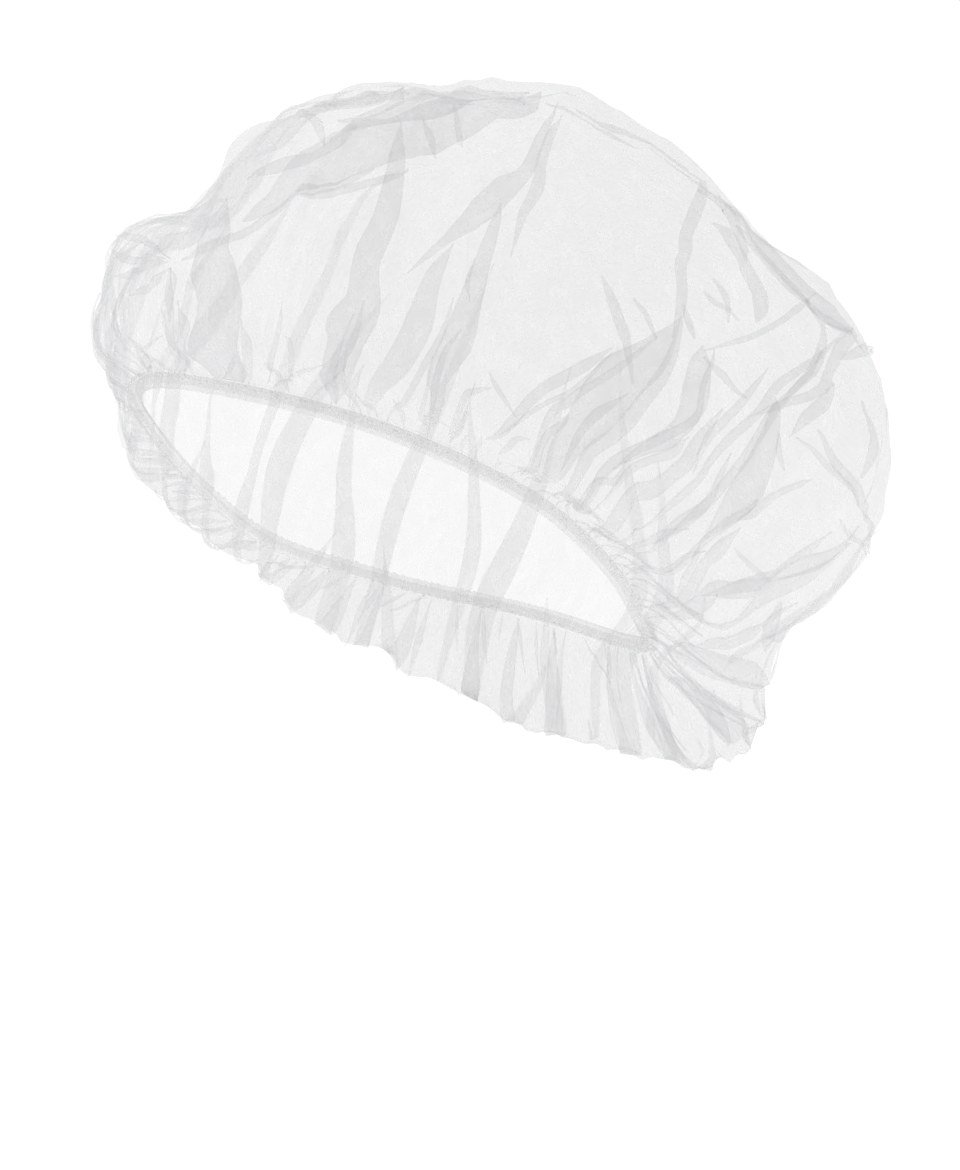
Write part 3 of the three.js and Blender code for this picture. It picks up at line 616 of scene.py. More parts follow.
class Nodes:
    """A short way to build a material's nodes."""

    def __init__(self, name: str) -> None:
        """Starts an empty node material of that name."""
        self.material = bpy.data.materials.new(name)
        self.material.use_nodes = True
        self.tree = self.material.node_tree
        self.tree.nodes.clear()
        self.output = self.tree.nodes.new("ShaderNodeOutputMaterial")

    def add(self, kind: str, **settings: object) -> bpy.types.Node:
        """A new node with settings for its properties."""
        node = self.tree.nodes.new(kind)
        for key, value in settings.items():
            setattr(node, key, value)
        return node

    def link(self, source: Socket, target: Socket) -> None:
        """Joins two sockets."""
        self.tree.links.new(source, target)

    def math(self, operation: str, first: Socket | float, second: Socket | float = 0.0) -> Socket:
        """A sum of two sockets or numbers.

        Args:
            operation: Blender's name of the operation.
            first: a socket or a number.
            second: a socket or a number.

        Returns:
            The socket with the result.
        """
        node = self.add("ShaderNodeMath", operation=operation)
        for socket, value in zip(node.inputs, (first, second)):
            if isinstance(value, bpy.types.NodeSocket):
                self.link(value, socket)
            else:
                socket.default_value = value
        return node.outputs[0]

    def spread(self, value: Socket, source: Span, to: Span) -> Socket:
        """Maps a range of values to another and holds it there."""
        node = self.add("ShaderNodeMapRange")
        self.link(value, node.inputs["Value"])
        for name, number in zip(("From Min", "From Max", "To Min", "To Max"), (*source, *to)):
            node.inputs[name].default_value = number
        return node.outputs["Result"]

    def cloth(self) -> Socket:
        """Place on the flat cloth, in metres."""
        return self.add("ShaderNodeUVMap", uv_map="cloth").outputs["UV"]

    def noise(self, place: Socket | None, scale: float, detail: float = 2.0) -> Socket:
        """Noise over the cloth, or in space where no place is given.

        Args:
            place: the socket with the place on the cloth, or nothing.
            scale: its scale.
            detail: its finer steps.

        Returns:
            The socket with the noise, about a half on the whole.
        """
        node = self.add("ShaderNodeTexNoise", noise_dimensions="2D" if place else "3D")
        if place:
            self.link(place, node.inputs["Vector"])
        node.inputs["Scale"].default_value = scale
        node.inputs["Detail"].default_value = detail
        return node.outputs["Fac"]

    def tint(self, factor: Socket, first: Colour, second: Colour) -> Socket:
        """A blend of two colours."""
        node = self.add("ShaderNodeMix", data_type="RGBA")
        self.link(factor, node.inputs["Factor"])
        node.inputs["A"].default_value = (*first, 1)
        node.inputs["B"].default_value = (*second, 1)
        return node.outputs["Result"]

    def bump(self, height: Socket, strength: float, distance: float, inward: bool = False) -> Socket:
        """Relief of that strength and height in metres, raised or pressed in."""
        node = self.add("ShaderNodeBump", invert=inward)
        node.inputs["Strength"].default_value = strength
        node.inputs["Distance"].default_value = distance
        self.link(height, node.inputs["Height"])
        return node.outputs["Normal"]

    def face(self, colour: Socket, normal: Socket) -> bpy.types.Node:
        """A plain surface shader of that colour and relief."""
        node = self.add("ShaderNodeBsdfPrincipled")
        self.link(colour, node.inputs["Base Color"])
        self.link(normal, node.inputs["Normal"])
        return node

    def mix(
        self, share: Socket | float, first: bpy.types.Node, second: bpy.types.Node,
    ) -> bpy.types.Node:
        """A mix of two shaders, by a number or a socket."""
        node = self.add("ShaderNodeMixShader")
        if isinstance(share, bpy.types.NodeSocket):
            self.link(share, node.inputs["Fac"])
        else:
            node.inputs["Fac"].default_value = share
        self.link(first.outputs[0], node.inputs[1])
        self.link(second.outputs[0], node.inputs[2])
        return node

    def finished(self, shader: bpy.types.Node) -> bpy.types.Material:
        """The material with that shader as its surface."""
        self.link(shader.outputs[0], self.output.inputs["Surface"])
        return self.material


@dataclass(frozen=True)
class NonwovenFinish:
    """Spunbond nonwoven: a web of fine fibres with small bond points that lets some light through."""

    name: str
    colour: Colour
    shade: Colour
    cover: float
    cloudiness: float
    fibre_cover: float
    bond_relief: float
    bond_pitch: float = 0.0022
    bond_edge: Span = (1.1, 1.6)
    bond_depth: float = 0.00003
    bond_gloss: float = 0.2
    bond_thin: float = 0.5
    cloud_scale: float = 150
    cloud_range: Span = (0.3, 0.7)
    fibre_turn: float = 24
    fibre_scale: Triple = (1500, 90, 1)
    fibre_range: Span = (0.52, 0.64)
    through: float = 0.40
    roughness: float = 0.85
    specular: float = 0.25
    sheen: float = 0.12
    sheen_roughness: float = 0.6

    def _fibres(self, nodes: Nodes, place: Socket) -> Socket:
        """Fine fibres that run one way, broken by noise.

        Args:
            nodes: the material's nodes.
            place: the socket with the place on the cloth.

        Returns:
            A socket that is one on a fibre and nought between fibres.
        """
        mapping = nodes.add("ShaderNodeMapping")
        nodes.link(place, mapping.inputs["Vector"])
        mapping.inputs["Rotation"].default_value = (0, 0, math.radians(self.fibre_turn))
        mapping.inputs["Scale"].default_value = self.fibre_scale
        return nodes.spread(nodes.noise(mapping.outputs["Vector"], 1, 0), self.fibre_range, (0, 1))

    def _bonds(self, nodes: Nodes, place: Socket) -> Socket:
        """Rows of small round bond points.

        Args:
            nodes: the material's nodes.
            place: the socket with the place on the cloth.

        Returns:
            A socket that is one on a point and nought between points.
        """
        parts = nodes.add("ShaderNodeSeparateXYZ")
        nodes.link(place, parts.inputs[0])
        turns = 2 * math.pi / self.bond_pitch
        turned = [nodes.math("MULTIPLY", part, turns) for part in parts.outputs[:2]]
        waves = [nodes.math("COSINE", part) for part in turned]
        return nodes.spread(nodes.math("ADD", *waves), self.bond_edge, (0, 1))

    def material(self) -> bpy.types.Material:
        """Builds the node material."""
        nodes = Nodes(self.name)
        cloth = nodes.cloth()
        cloud = nodes.noise(cloth, self.cloud_scale, 1)
        fibres, bond = self._fibres(nodes, cloth), self._bonds(nodes, cloth)
        cover = nodes.spread(cloud, self.cloud_range, (-self.cloudiness, self.cloudiness))
        cover = nodes.math("ADD", cover, self.cover)
        cover = nodes.math("ADD", cover, nodes.math("MULTIPLY", fibres, self.fibre_cover))
        thin = nodes.math("MULTIPLY", bond, -self.bond_thin * self.fibre_cover)
        cover = nodes.spread(nodes.math("ADD", cover, thin), (0, 1), (0, 1))
        tint = nodes.tint(nodes.spread(cloud, self.cloud_range, (0, 1)), self.shade, self.colour)
        normal = nodes.bump(bond, self.bond_relief, self.bond_depth, inward=True)
        face = nodes.face(tint, normal)
        rough = nodes.spread(bond, (0, 1), (self.roughness, self.roughness - self.bond_gloss))
        nodes.link(rough, face.inputs["Roughness"])
        face.inputs["Specular IOR Level"].default_value = self.specular
        face.inputs["Sheen Weight"].default_value = self.sheen
        face.inputs["Sheen Roughness"].default_value = self.sheen_roughness
        back = nodes.add("ShaderNodeBsdfTranslucent")
        nodes.link(tint, back.inputs["Color"])
        nodes.link(normal, back.inputs["Normal"])
        clear = nodes.add("ShaderNodeBsdfTransparent")
        return nodes.finished(nodes.mix(cover, clear, nodes.mix(self.through, face, back)))


@dataclass(frozen=True)
class ElasticFinish:
    """Covered elastic tape: fine lengthwise ribs on a matt white band, with painted shade darkening the
    grooves between the ribs.
    """

    name: str = "elastic_tape"
    colour: Colour = (0.90, 0.90, 0.88)
    # Painted shade: a darker colour laid into the grooves between the ribs, where the rib relief is
    # low.
    painted_groove_shade: Colour = (0.74, 0.74, 0.72)
    rib_pitch: float = 0.0006
    rib_unevenness: float = 0.4
    rib_relief: float = 0.5
    rib_depth: float = 0.0001
    clear: float = 0.80
    roughness: float = 0.62

    def material(self) -> bpy.types.Material:
        """Builds the node material."""
        nodes = Nodes(self.name)
        wave = nodes.add("ShaderNodeTexWave", bands_direction="Y")
        nodes.link(nodes.cloth(), wave.inputs["Vector"])
        wave.inputs["Scale"].default_value = 1 / (self.rib_pitch * 2 * math.pi)
        wave.inputs["Distortion"].default_value = self.rib_unevenness
        ribs = wave.outputs["Fac"]
        normal = nodes.bump(ribs, self.rib_relief, self.rib_depth)
        # The colour darkens with the rib relief: painted shade in the grooves.
        face = nodes.face(nodes.tint(ribs, self.painted_groove_shade, self.colour), normal)
        face.inputs["Roughness"].default_value = self.roughness
        return nodes.finished(nodes.mix(self.clear, face, nodes.add("ShaderNodeBsdfTransparent")))


@dataclass(frozen=True)
class WeldFinish:
    """Fused nonwoven at a weld point: closed, brighter and smoother than the cloth, with painted shade
    darkening the low spots of its grain.
    """

    name: str = "weld_point"
    colour: Colour = (0.92, 0.93, 0.94)
    # Painted shade, not a rim colour: a darker colour laid into the low spots of the grain relief.
    rim: Colour = (0.82, 0.84, 0.86)
    grain_scale: float = 1500
    grain_relief: float = 0.3
    grain_depth: float = 0.0001
    roughness: float = 0.35

    def material(self) -> bpy.types.Material:
        """Builds the node material."""
        nodes = Nodes(self.name)
        grain = nodes.noise(None, self.grain_scale)
        normal = nodes.bump(grain, self.grain_relief, self.grain_depth)
        # The colour follows the grain relief and is darker in its low spots: painted shade in the
        # hollows.
        face = nodes.face(nodes.tint(grain, self.rim, self.colour), normal)
        face.inputs["Roughness"].default_value = self.roughness
        return nodes.finished(face)


@dataclass
class HemSizes:
    """Sizes of the hem, the elastic and the clearance between the pieces, in millimetres."""

    cloth: float = 1.1
    gap: float = 0.3
    elastic_width: float = 3.2
    elastic_thickness: float = 0.8

    @property
    def height(self) -> float:
        """Height of the folded casing."""
        return self.cloth + self.elastic_width + 2 * self.gap

    @property
    def half(self) -> float:
        """Half the thickness of the folded casing."""
        return self.cloth + self.gap + self.elastic_thickness / 2


@dataclass
class CrownSheet:
    """The disc of cloth in its worn form, one layer thick."""

    form: BagForm
    hem: HemSizes
    columns: int = 1000
    rows: int = 98
    crowding: float = 1.3
    fold_width: float = 30.0
    fold_depth: float = 3.6
    dent_width: float = 60.0
    dent_depth: float = 22.0
    gathers: int = 104
    gather_depth: float = 0.45
    gather_wander: Waves = ((1.3, 7, 0), (0.9, 17, 1))
    gather_reach: float = 0.040
    gather_reaches: Waves = ((0.022, 23, 0), (0.014, 61, 2))
    gather_rise: float = 0.008
    coarse_gathers: int = 43
    coarse_wander: Waves = ((1.6, 5, 0),)
    coarse_reach: float = 2.8
    crumples: int = 300
    crumple_depth: float = 2.0
    crumple_length: Span = (18, 75)
    crumple_width: Span = (5, 20)
    crumple_share: Span = (0.3, 1)
    crumple_area: Span = (0.02, 1)
    crumple_turn: Span = (0.35, 0.9)
    crumple_bluntness: float = 1.3
    facets: int = 120
    facet_depth: float = 2.6
    facet_edge: float = 16.0
    facet_shift: float = 0.055
    hem_hold: float = 0.05
    top_fade: float = 0.125
    flat_diameter: float = 0.533
    piece: bpy.types.Object | None = field(default=None, init=False)

    def _relief(self, angles: np.ndarray, shares: np.ndarray, arc: np.ndarray) -> np.ndarray:
        """Long folds and broad dents: how far the cloth stands out.

        Args:
            angles: angle of each place round the loop, in degrees.
            shares: share of the way from the hem to the top.
            arc: millimetres in one degree at each place.

        Returns:
            Height in millimetres.
        """
        drop, hollow, bluntness = 0.4, 1.5, 0.7
        height = np.zeros_like(shares)
        for fold in LONG_FOLDS:
            along = (shares - fold.start) / (fold.end - fold.start)
            sideways = turn_between(fold.angle + fold.lean * along, angles) * arc
            u = sideways / (fold.width * self.fold_width)
            across = np.where(u < 0, np.clip(1 + u, 0, 1) ** hollow, np.clip(1 - u / drop, 0, 1))
            swell = np.sin(np.pi * np.clip(along, 0, 1)) ** bluntness
            height += across * swell * fold.depth * self.fold_depth
        for dent in DENTS:
            sideways = turn_between(dent.angle, angles) * arc / (dent.across * self.dent_width)
            upward = (shares - dent.along) * self.form.climb / (dent.tall * self.dent_width)
            height += np.exp(-(sideways**2) - upward**2) * dent.depth * self.dent_depth
        return height

    def _gathers(self, around: np.ndarray, shares: np.ndarray) -> np.ndarray:
        """Fine gathers at the hem.

        Args:
            around: share of the way round the loop.
            shares: share of the way from the hem to the top.

        Returns:
            Height in millimetres.
        """
        phase = 2 * np.pi * self.gathers * around + sway(around, *self.gather_wander)
        coarse = 2 * np.pi * self.coarse_gathers * around + sway(around, *self.coarse_wander)
        reach = self.gather_reach + sway(around, *self.gather_reaches)
        rise = 1 - np.exp(-shares / self.gather_rise)
        fine = rise * np.exp(-shares / reach)
        broad = rise * np.exp(-shares / (self.coarse_reach * reach))
        return self.gather_depth * (fine * np.sin(phase) + broad * np.sin(coarse))

    def _peaks(self, angles: np.ndarray, shares: np.ndarray, arc: np.ndarray) -> np.ndarray:
        """Pointed corners of the outline: height in millimetres."""
        height = np.zeros_like(shares)
        for peak in PEAKS:
            across = turn_between(peak.angle, angles) * arc
            upward = (shares - peak.along) * self.form.climb
            height += peak.depth * np.clip(1 - np.hypot(across, upward) / peak.size, 0, 1)
        return height

    def _rosettes(self, angles: np.ndarray, shares: np.ndarray, arc: np.ndarray) -> np.ndarray:
        """Drawn-in points with short folds round them: height in millimetres."""
        twist, fold_size, fold_drop, pinch, pinch_width = 0.7, 0.9, 0.6, 2, 2.2
        height = np.zeros_like(shares)
        for rosette in ROSETTES:
            across = turn_between(rosette.angle, angles) * arc
            upward = (shares - rosette.along) * self.form.climb
            far = np.hypot(across, upward) / rosette.size
            ray = np.arctan2(upward, across) * rosette.rays
            fold = np.abs(np.sin(ray / 2 + twist * np.sin(ray / 5)))
            ring = far * np.exp(-far * far) * pinch
            height += rosette.depth * (fold_size * fold - fold_drop) * ring
            height -= rosette.depth * np.exp(-((pinch_width * far) ** 2))
        return height

    def _crumple(self, flat: np.ndarray, shares: np.ndarray) -> np.ndarray:
        """Short sharp creases scattered over the cloth.

        Args:
            flat: place of each point on the flat cloth, in millimetres.
            shares: share of the way from the hem to the top.

        Returns:
            Height in millimetres.
        """
        random = np.random.default_rng(11)
        radius = self.flat_diameter / MM / 2
        height = np.zeros_like(shares)
        least, more = self.crumple_turn
        for _ in range(self.crumples):
            far = radius * math.sqrt(random.uniform(*self.crumple_area))
            bearing = random.uniform(0, 2 * math.pi)
            centre = np.array([far * math.cos(bearing), far * math.sin(bearing)])
            heading = bearing + random.normal(0, least + more * (1 - far / radius))
            length = random.uniform(*self.crumple_length)
            width = random.uniform(*self.crumple_width)
            depth = self.crumple_depth * random.uniform(*self.crumple_share) * random.choice([-1, 1])
            offset = flat - centre
            c, s = math.cos(heading), math.sin(heading)
            along = (offset[..., 0] * c + offset[..., 1] * s) / length
            across = (offset[..., 1] * c - offset[..., 0] * s) / width
            near = (np.abs(along) < 1) & (np.abs(across) < 1)
            tent = (1 - np.abs(across[near])) ** self.crumple_bluntness * (1 - along[near] ** 2)
            height[near] += depth * tent
        return height

    def _facets(self, flat: np.ndarray) -> np.ndarray:
        """Flat patches between soft ridges, as in paper: height in millimetres.

        Args:
            flat: place of each point on the flat cloth, in millimetres.

        Returns:
            Height, nought on the ridges and below nought between them.
        """
        random = np.random.default_rng(31)
        radius = self.flat_diameter / MM / 2
        far = radius * np.sqrt((np.arange(self.facets) + 0.5) / self.facets)
        bearing = np.arange(self.facets) * GOLDEN_TURN
        seeds = np.stack([far * np.cos(bearing), far * np.sin(bearing)], axis=1)
        seeds += random.normal(0, radius * self.facet_shift, seeds.shape)
        first = np.full(flat.shape[:-1], np.inf)
        second = first.copy()
        for seed in seeds:
            away = np.hypot(flat[..., 0] - seed[0], flat[..., 1] - seed[1])
            second = np.minimum(second, np.maximum(first, away))
            first = np.minimum(first, away)
        inside = np.clip((second - first) / (2 * self.facet_edge), 0, 1)
        return -self.facet_depth * inside * (2 - inside)

    def flat_place(self, around: np.ndarray, shares: np.ndarray) -> np.ndarray:
        """Places on the flat disc, in millimetres, of shares of the way round and up."""
        disc = self.flat_diameter / MM / 2 * (1 - shares)
        return np.stack([disc * np.cos(2 * np.pi * around), disc * np.sin(2 * np.pi * around)], axis=-1)

    def surface(
        self, around: np.ndarray, shares: np.ndarray, lift: np.ndarray | float = 0.0,
    ) -> np.ndarray:
        """Places on the worn sheet.

        Args:
            around: share of the way round the loop, from the wearer's left over the nape.
            shares: share of the way from the hem to the top.
            lift: how far above the sheet, in millimetres.

        Returns:
            Points in the loop's own frame, in millimetres.
        """
        start = self.hem.height + self.hem.gap
        columns = around * self.columns
        lengths = [*self.form.lengths, self.form.lengths[0]]
        length = np.interp(columns % self.columns, np.arange(self.columns + 1), lengths)
        distances = start + shares * (length - start)
        smooth = self.form.read(columns, distances)
        sideways = self.form.read(columns + 1, distances) - self.form.read(columns - 1, distances)
        upward = self.form.read(columns, distances + 1) - self.form.read(columns, distances - 1)
        normals = np.cross(sideways, upward)
        normals /= np.maximum(np.linalg.norm(normals, axis=-1, keepdims=True), TINY)
        angles = self.form.angle_of(2 * np.pi * around)
        arc = degree_of_arc(smooth)
        flat = self.flat_place(around, shares)
        height = self._gathers(around, shares) + self._relief(angles, shares, arc)
        height += self._rosettes(angles, shares, arc) + self._peaks(angles, shares, arc)
        free = 1 - np.exp(-shares / self.hem_hold)
        height += (self._crumple(flat, shares) + self._facets(flat)) * free
        height = (height + lift) * np.clip((1 - shares) / self.top_fade, 0, 1)
        return smooth + normals * height[..., None]

    def build(self) -> bpy.types.Object:
        """Builds the sheet's mesh.

        Returns:
            The crown piece.
        """
        rows = (np.arange(self.rows) / self.rows) ** self.crowding
        around = np.arange(self.columns)[:, None] / self.columns
        around, shares = np.broadcast_arrays(around, rows)
        points = self.surface(around, shares).reshape(-1, 3)
        peak = np.array([[0, self.form.crown_back, self.form.height]])
        points = np.concatenate([points, peak])
        faces = grid_faces(self.columns, self.rows).tolist()
        last = self.rows - 1
        apex = len(points) - 1
        for i in range(self.columns):
            faces.append([i * self.rows + last, (i + 1) % self.columns * self.rows + last, apex])
        self.piece = mesh_piece("crown_sheet", self.form.in_frame(points), faces)
        flat = self.flat_place(around, shares).reshape(-1, 2)
        add_cloth_map(self.piece, np.concatenate([flat, [[0, 0]]]) * MM)
        return self.piece

    def dress(self, finish: NonwovenFinish) -> None:
        """Gives the sheet its finish and its place in the frame."""
        self.piece.data.materials.append(finish.material())
        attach(self.piece, "root")
        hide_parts("crown")


@dataclass
class LaidFolds:
    """The folds that lie flat on the crown, each a thin flattened tube of cloth with pointed ends."""

    crown: CrownSheet
    across: int = 5
    steps: int = 6
    clearance: float = 0.4
    stack: float = 0.22
    levels: int = 5
    fold_lift: float = 0.7
    held_to: Span = (0.001, 0.995)
    read_to: Span = (0, 0.99)
    upper: Span = (0.3, 0.35)
    least_width: float = 0.3
    tip: float = 0.6
    tip_bluntness: float = 0.6
    tucks: int = 100
    tuck_shift: float = 0.4
    tuck_middle: float = 0.45
    tuck_share: Span = (0.5, 1.1)
    tuck_lean: float = 3
    tuck_reach: Span = (0.03, 0.15)
    tuck_width: Span = (0.8, 14)
    tuck_ends: Span = (0.6, 0.3)
    piece: bpy.types.Object | None = field(default=None, init=False)

    def _hem_tucks(self) -> list[LaidFold]:
        """Short narrow folds of uneven length that start at the hem."""
        random = np.random.default_rng(23)
        folds = []
        shift = self.tuck_shift
        for i in range(self.tucks):
            foot = 360 * (i + random.uniform(-shift, shift)) / self.tucks
            lean = random.normal(0, self.tuck_lean)
            end = self.tuck_reach[0] + self.tuck_reach[1] * random.uniform(0, 1) ** 2
            width = self.tuck_width[0] + self.tuck_width[1] * end * random.uniform(*self.tuck_share)
            first, last = (foot, 0.0, self.tuck_ends[0]), (foot + lean, end, self.tuck_ends[1])
            folds.append(LaidFold((first, (foot + lean / 2, end * self.tuck_middle, width), last)))
        return folds

    def _line(self, fold: LaidFold) -> np.ndarray:
        """Evenly read places of a fold: angle, share and width.

        Args:
            fold: the fold.

        Returns:
            One row of three numbers for each place.
        """
        places = np.array(fold.places, float)
        wide = np.concatenate([[2 * places[0] - places[1]], places, [2 * places[-1] - places[-2]]])
        spans = len(places) - 1
        at = np.linspace(0, spans, spans * self.steps + 1)
        k = np.minimum(at.astype(int), spans - 1)
        u = (at - k)[:, None]
        before, here, after, beyond = (wide[k + j] for j in range(4))
        line = here + u / 2 * (after - before)
        line += u * u * (before - 2.5 * here + 2 * after - 0.5 * beyond)
        line += u**3 * (1.5 * (here - after) + (beyond - before) / 2)
        point = np.clip(np.minimum(at, spans - at) / self.tip, 0, 1) ** self.tip_bluntness
        line[:, 2] = (here[:, 2] + (after[:, 2] - here[:, 2]) * u[:, 0]) * point
        return line

    def build(self) -> bpy.types.Object:
        """Builds all folds as one mesh.

        Returns:
            The piece.
        """
        form = self.crown.form
        spread = np.linspace(-1, 1, self.across)
        lateral = np.concatenate([spread, spread[::-1]])
        least, slope = self.upper
        upper = least + slope * (spread[::-1] + 1)
        raised = np.concatenate([np.zeros(self.across), upper]) * self.fold_lift
        around, shares, lift, faces = [], [], [], []
        base = 0
        for number, fold in enumerate([*LAID_FOLDS, *self._hem_tucks()]):
            line = self._line(fold)
            angles, along, widths = line.T
            column = form.column_of(angles)
            length = np.interp(column % self.crown.columns, np.arange(self.crown.columns), form.lengths)
            smooth = form.read(column, np.clip(along, *self.read_to) * length)
            arc = degree_of_arc(smooth)
            ahead = np.stack([np.gradient(angles) * arc, np.gradient(along) * length], axis=1)
            ahead /= np.maximum(np.linalg.norm(ahead, axis=1, keepdims=True), TINY)
            half = np.maximum(widths, self.least_width)[:, None] / 2 * lateral
            turned = angles[:, None] - half * (ahead[:, 1] / arc)[:, None]
            rise = along[:, None] + half * (ahead[:, 0] / length)[:, None]
            around.append(form.column_of(turned).ravel() / self.crown.columns)
            shares.append(np.clip(rise, *self.held_to).ravel())
            level = self.clearance + self.stack * (number % self.levels)
            lift.append(np.broadcast_to(level + raised, half.shape).ravel())
            ring = len(lateral)
            for here in range(base, base + (len(line) - 1) * ring, ring):
                for j in range(ring):
                    beside = (j + 1) % ring
                    faces.append([here + j, here + beside, here + ring + beside, here + ring + j])
            faces.append([base + j for j in reversed(range(ring))])
            base += len(line) * ring
            faces.append([base - ring + j for j in range(ring)])
        around, shares = np.concatenate(around), np.concatenate(shares)
        points = self.crown.surface(around, shares, np.concatenate(lift))
        self.piece = mesh_piece("crown_laid_folds", form.in_frame(points), faces)
        add_cloth_map(self.piece, self.crown.flat_place(around, shares) * MM)
        return self.piece

    def dress(self, finish: NonwovenFinish) -> None:
        """Gives the folds their finish and their place in the frame."""
        self.piece.data.materials.append(finish.material())
        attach(self.piece, "root")


@dataclass
class HemCasing:
    """The folded edge of the disc: a finely ruffled casing with weld points along its upper edge."""

    form: BagForm
    hem: HemSizes
    columns: int = 1680
    ruffles: int = 210
    ruffle_depth: float = 0.60
    wander: Waves = ((1.1, 9, 0), (0.8, 31, 2))
    ruffle_range: Span = (0.7, 0.3)
    beats: Waves = ((1, 13, 1), (1, 29, 0))
    second_ruffle: float = 0.25
    bend: float = 0.9
    foot: float = 0.35
    corner: float = 0.35
    bulge_place: float = 0.55
    bulge: float = 0.1
    shoulder: float = 0.5
    lip: float = 0.1
    edge_swing: Span = (0.55, 0.45)
    inner_swing: float = 0.6
    scallop: float = 0.35
    scallop_height: float = 1.5
    fullness: float = 1.8
    welds: int = 150
    weld_size: Triple = (0.42, 0.28, 0.14)
    weld_drop: float = 0.95
    weld_stand: float = 0.30
    weld_shift: float = 0.55
    weld_share: Span = (0.8, 1.2)
    weld_rings: int = 3
    weld_spokes: int = 8
    piece: bpy.types.Object | None = field(default=None, init=False)
    weld_piece: bpy.types.Object | None = field(default=None, init=False)

    def frame(self, columns: np.ndarray) -> tuple[np.ndarray, np.ndarray, np.ndarray]:
        """Straight frame of the hem at broken column numbers.

        Args:
            columns: column numbers of the form.

        Returns:
            The edge on the loop, the way up the hem and the way out of it.
        """
        zero = np.zeros_like(columns)
        edge = self.form.read(columns, zero)
        upward = self.form.read(columns, zero + self.hem.height) - edge
        upward /= np.linalg.norm(upward, axis=1, keepdims=True)
        middle = zero + self.hem.height / 2
        sideways = self.form.read(columns + 1, middle) - self.form.read(columns - 1, middle)
        outward = np.cross(sideways, upward)
        outward /= np.linalg.norm(outward, axis=1, keepdims=True)
        return edge, upward, outward

    def build(self) -> list[bpy.types.Object]:
        """Builds the casing and its weld points.

        Returns:
            The two pieces.
        """
        around = np.arange(self.columns) / self.columns
        columns = around * len(self.form.angles)
        edge, upward, outward = self.frame(columns)
        high, half = self.hem.height, self.hem.half
        bend, corner, belly = self.bend, self.corner, high * self.bulge_place
        low, shoulder, lip = bend * self.foot, high - self.shoulder, high + self.lip
        section = (
            (lip, half - corner), (shoulder, half), (belly, half + self.bulge), (bend, half),
            (low, half - corner), (0, half - bend), (0, 0), (0, bend - half), (low, corner - half),
            (bend, -half), (belly, -half), (shoulder, -half), (lip, corner - half),
        )
        phase = 2 * np.pi * self.ruffles * around + sway(around, *self.wander)
        slow, quick = (sway(around, beat) for beat in self.beats)
        size = self.ruffle_range[0] + self.ruffle_range[1] * slow * quick
        ruffle = self.ruffle_depth * size * np.sin(phase)
        second = self.second_ruffle * np.sin(2.0 * phase + 1) * self.ruffle_depth
        rows = []
        least, more = self.edge_swing
        for up, out in section:
            swing = (ruffle + second) * (least + more * abs(up / high - 0.5) * 2)
            swing *= 1 if out >= 0 else self.inner_swing
            rise = self.scallop * ruffle * (1 - min(up / self.scallop_height, 1))
            rows.append(edge + upward * (up + rise)[:, None] + outward * (out + swing)[:, None])
        self.piece = swept_tape("hem_casing_folded", self.form, rows, closed=False)
        reach = np.cumsum([0] + [math.dist(a, b) for a, b in zip(section, section[1:])])
        add_cloth_map(self.piece, tape_map(edge, reach, self.fullness))
        self._build_welds()
        return [self.piece, self.weld_piece]

    def _build_welds(self) -> None:
        """Builds the small weld points along the outside of the casing's upper edge."""
        random = np.random.default_rng(5)
        shift = self.weld_shift
        at = (np.arange(self.welds) + random.uniform(-shift, shift, self.welds)) / self.welds
        edge, upward, outward = self.frame(at * len(self.form.angles))
        sideways = np.cross(upward, outward)
        rings, spokes = self.weld_rings, self.weld_spokes
        unit = []
        for ring in range(rings):
            lean = math.pi / 2 * ring / rings
            for spoke in range(spokes):
                bearing = 2 * math.pi * spoke / spokes
                flat = math.cos(lean)
                unit.append((flat * math.cos(bearing), flat * math.sin(bearing), math.sin(lean)))
        unit.append((0, 0, 1))
        unit = np.array(unit)
        points, faces = [], []
        for i in range(self.welds):
            size = np.array(self.weld_size) * random.uniform(*self.weld_share)
            rise = self.hem.height - self.weld_drop + random.uniform(-shift, shift)
            centre = edge[i] + upward[i] * rise + outward[i] * (self.hem.half + self.weld_stand)
            axes = np.stack([sideways[i], upward[i], outward[i]])
            base = len(points)
            points.extend((centre + (unit * size) @ axes).tolist())
            for ring in range(rings - 1):
                for spoke in range(spokes):
                    a = base + ring * spokes + spoke
                    b = base + ring * spokes + (spoke + 1) % spokes
                    faces.append([a, b, b + spokes, a + spokes])
            last = base + (rings - 1) * spokes
            for spoke in range(spokes):
                faces.append([last + spoke, last + (spoke + 1) % spokes, base + len(unit) - 1])
        self.weld_piece = mesh_piece("hem_weld_points", self.form.in_frame(np.array(points)), faces)

    def dress(self, cloth: NonwovenFinish, weld: WeldFinish) -> None:
        """Gives both pieces their finish and their place in the frame."""
        self.piece.data.materials.append(cloth.material())
        self.weld_piece.data.materials.append(weld.material())
        for piece in (self.piece, self.weld_piece):
            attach(piece, "root")
        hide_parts("hem_casing")


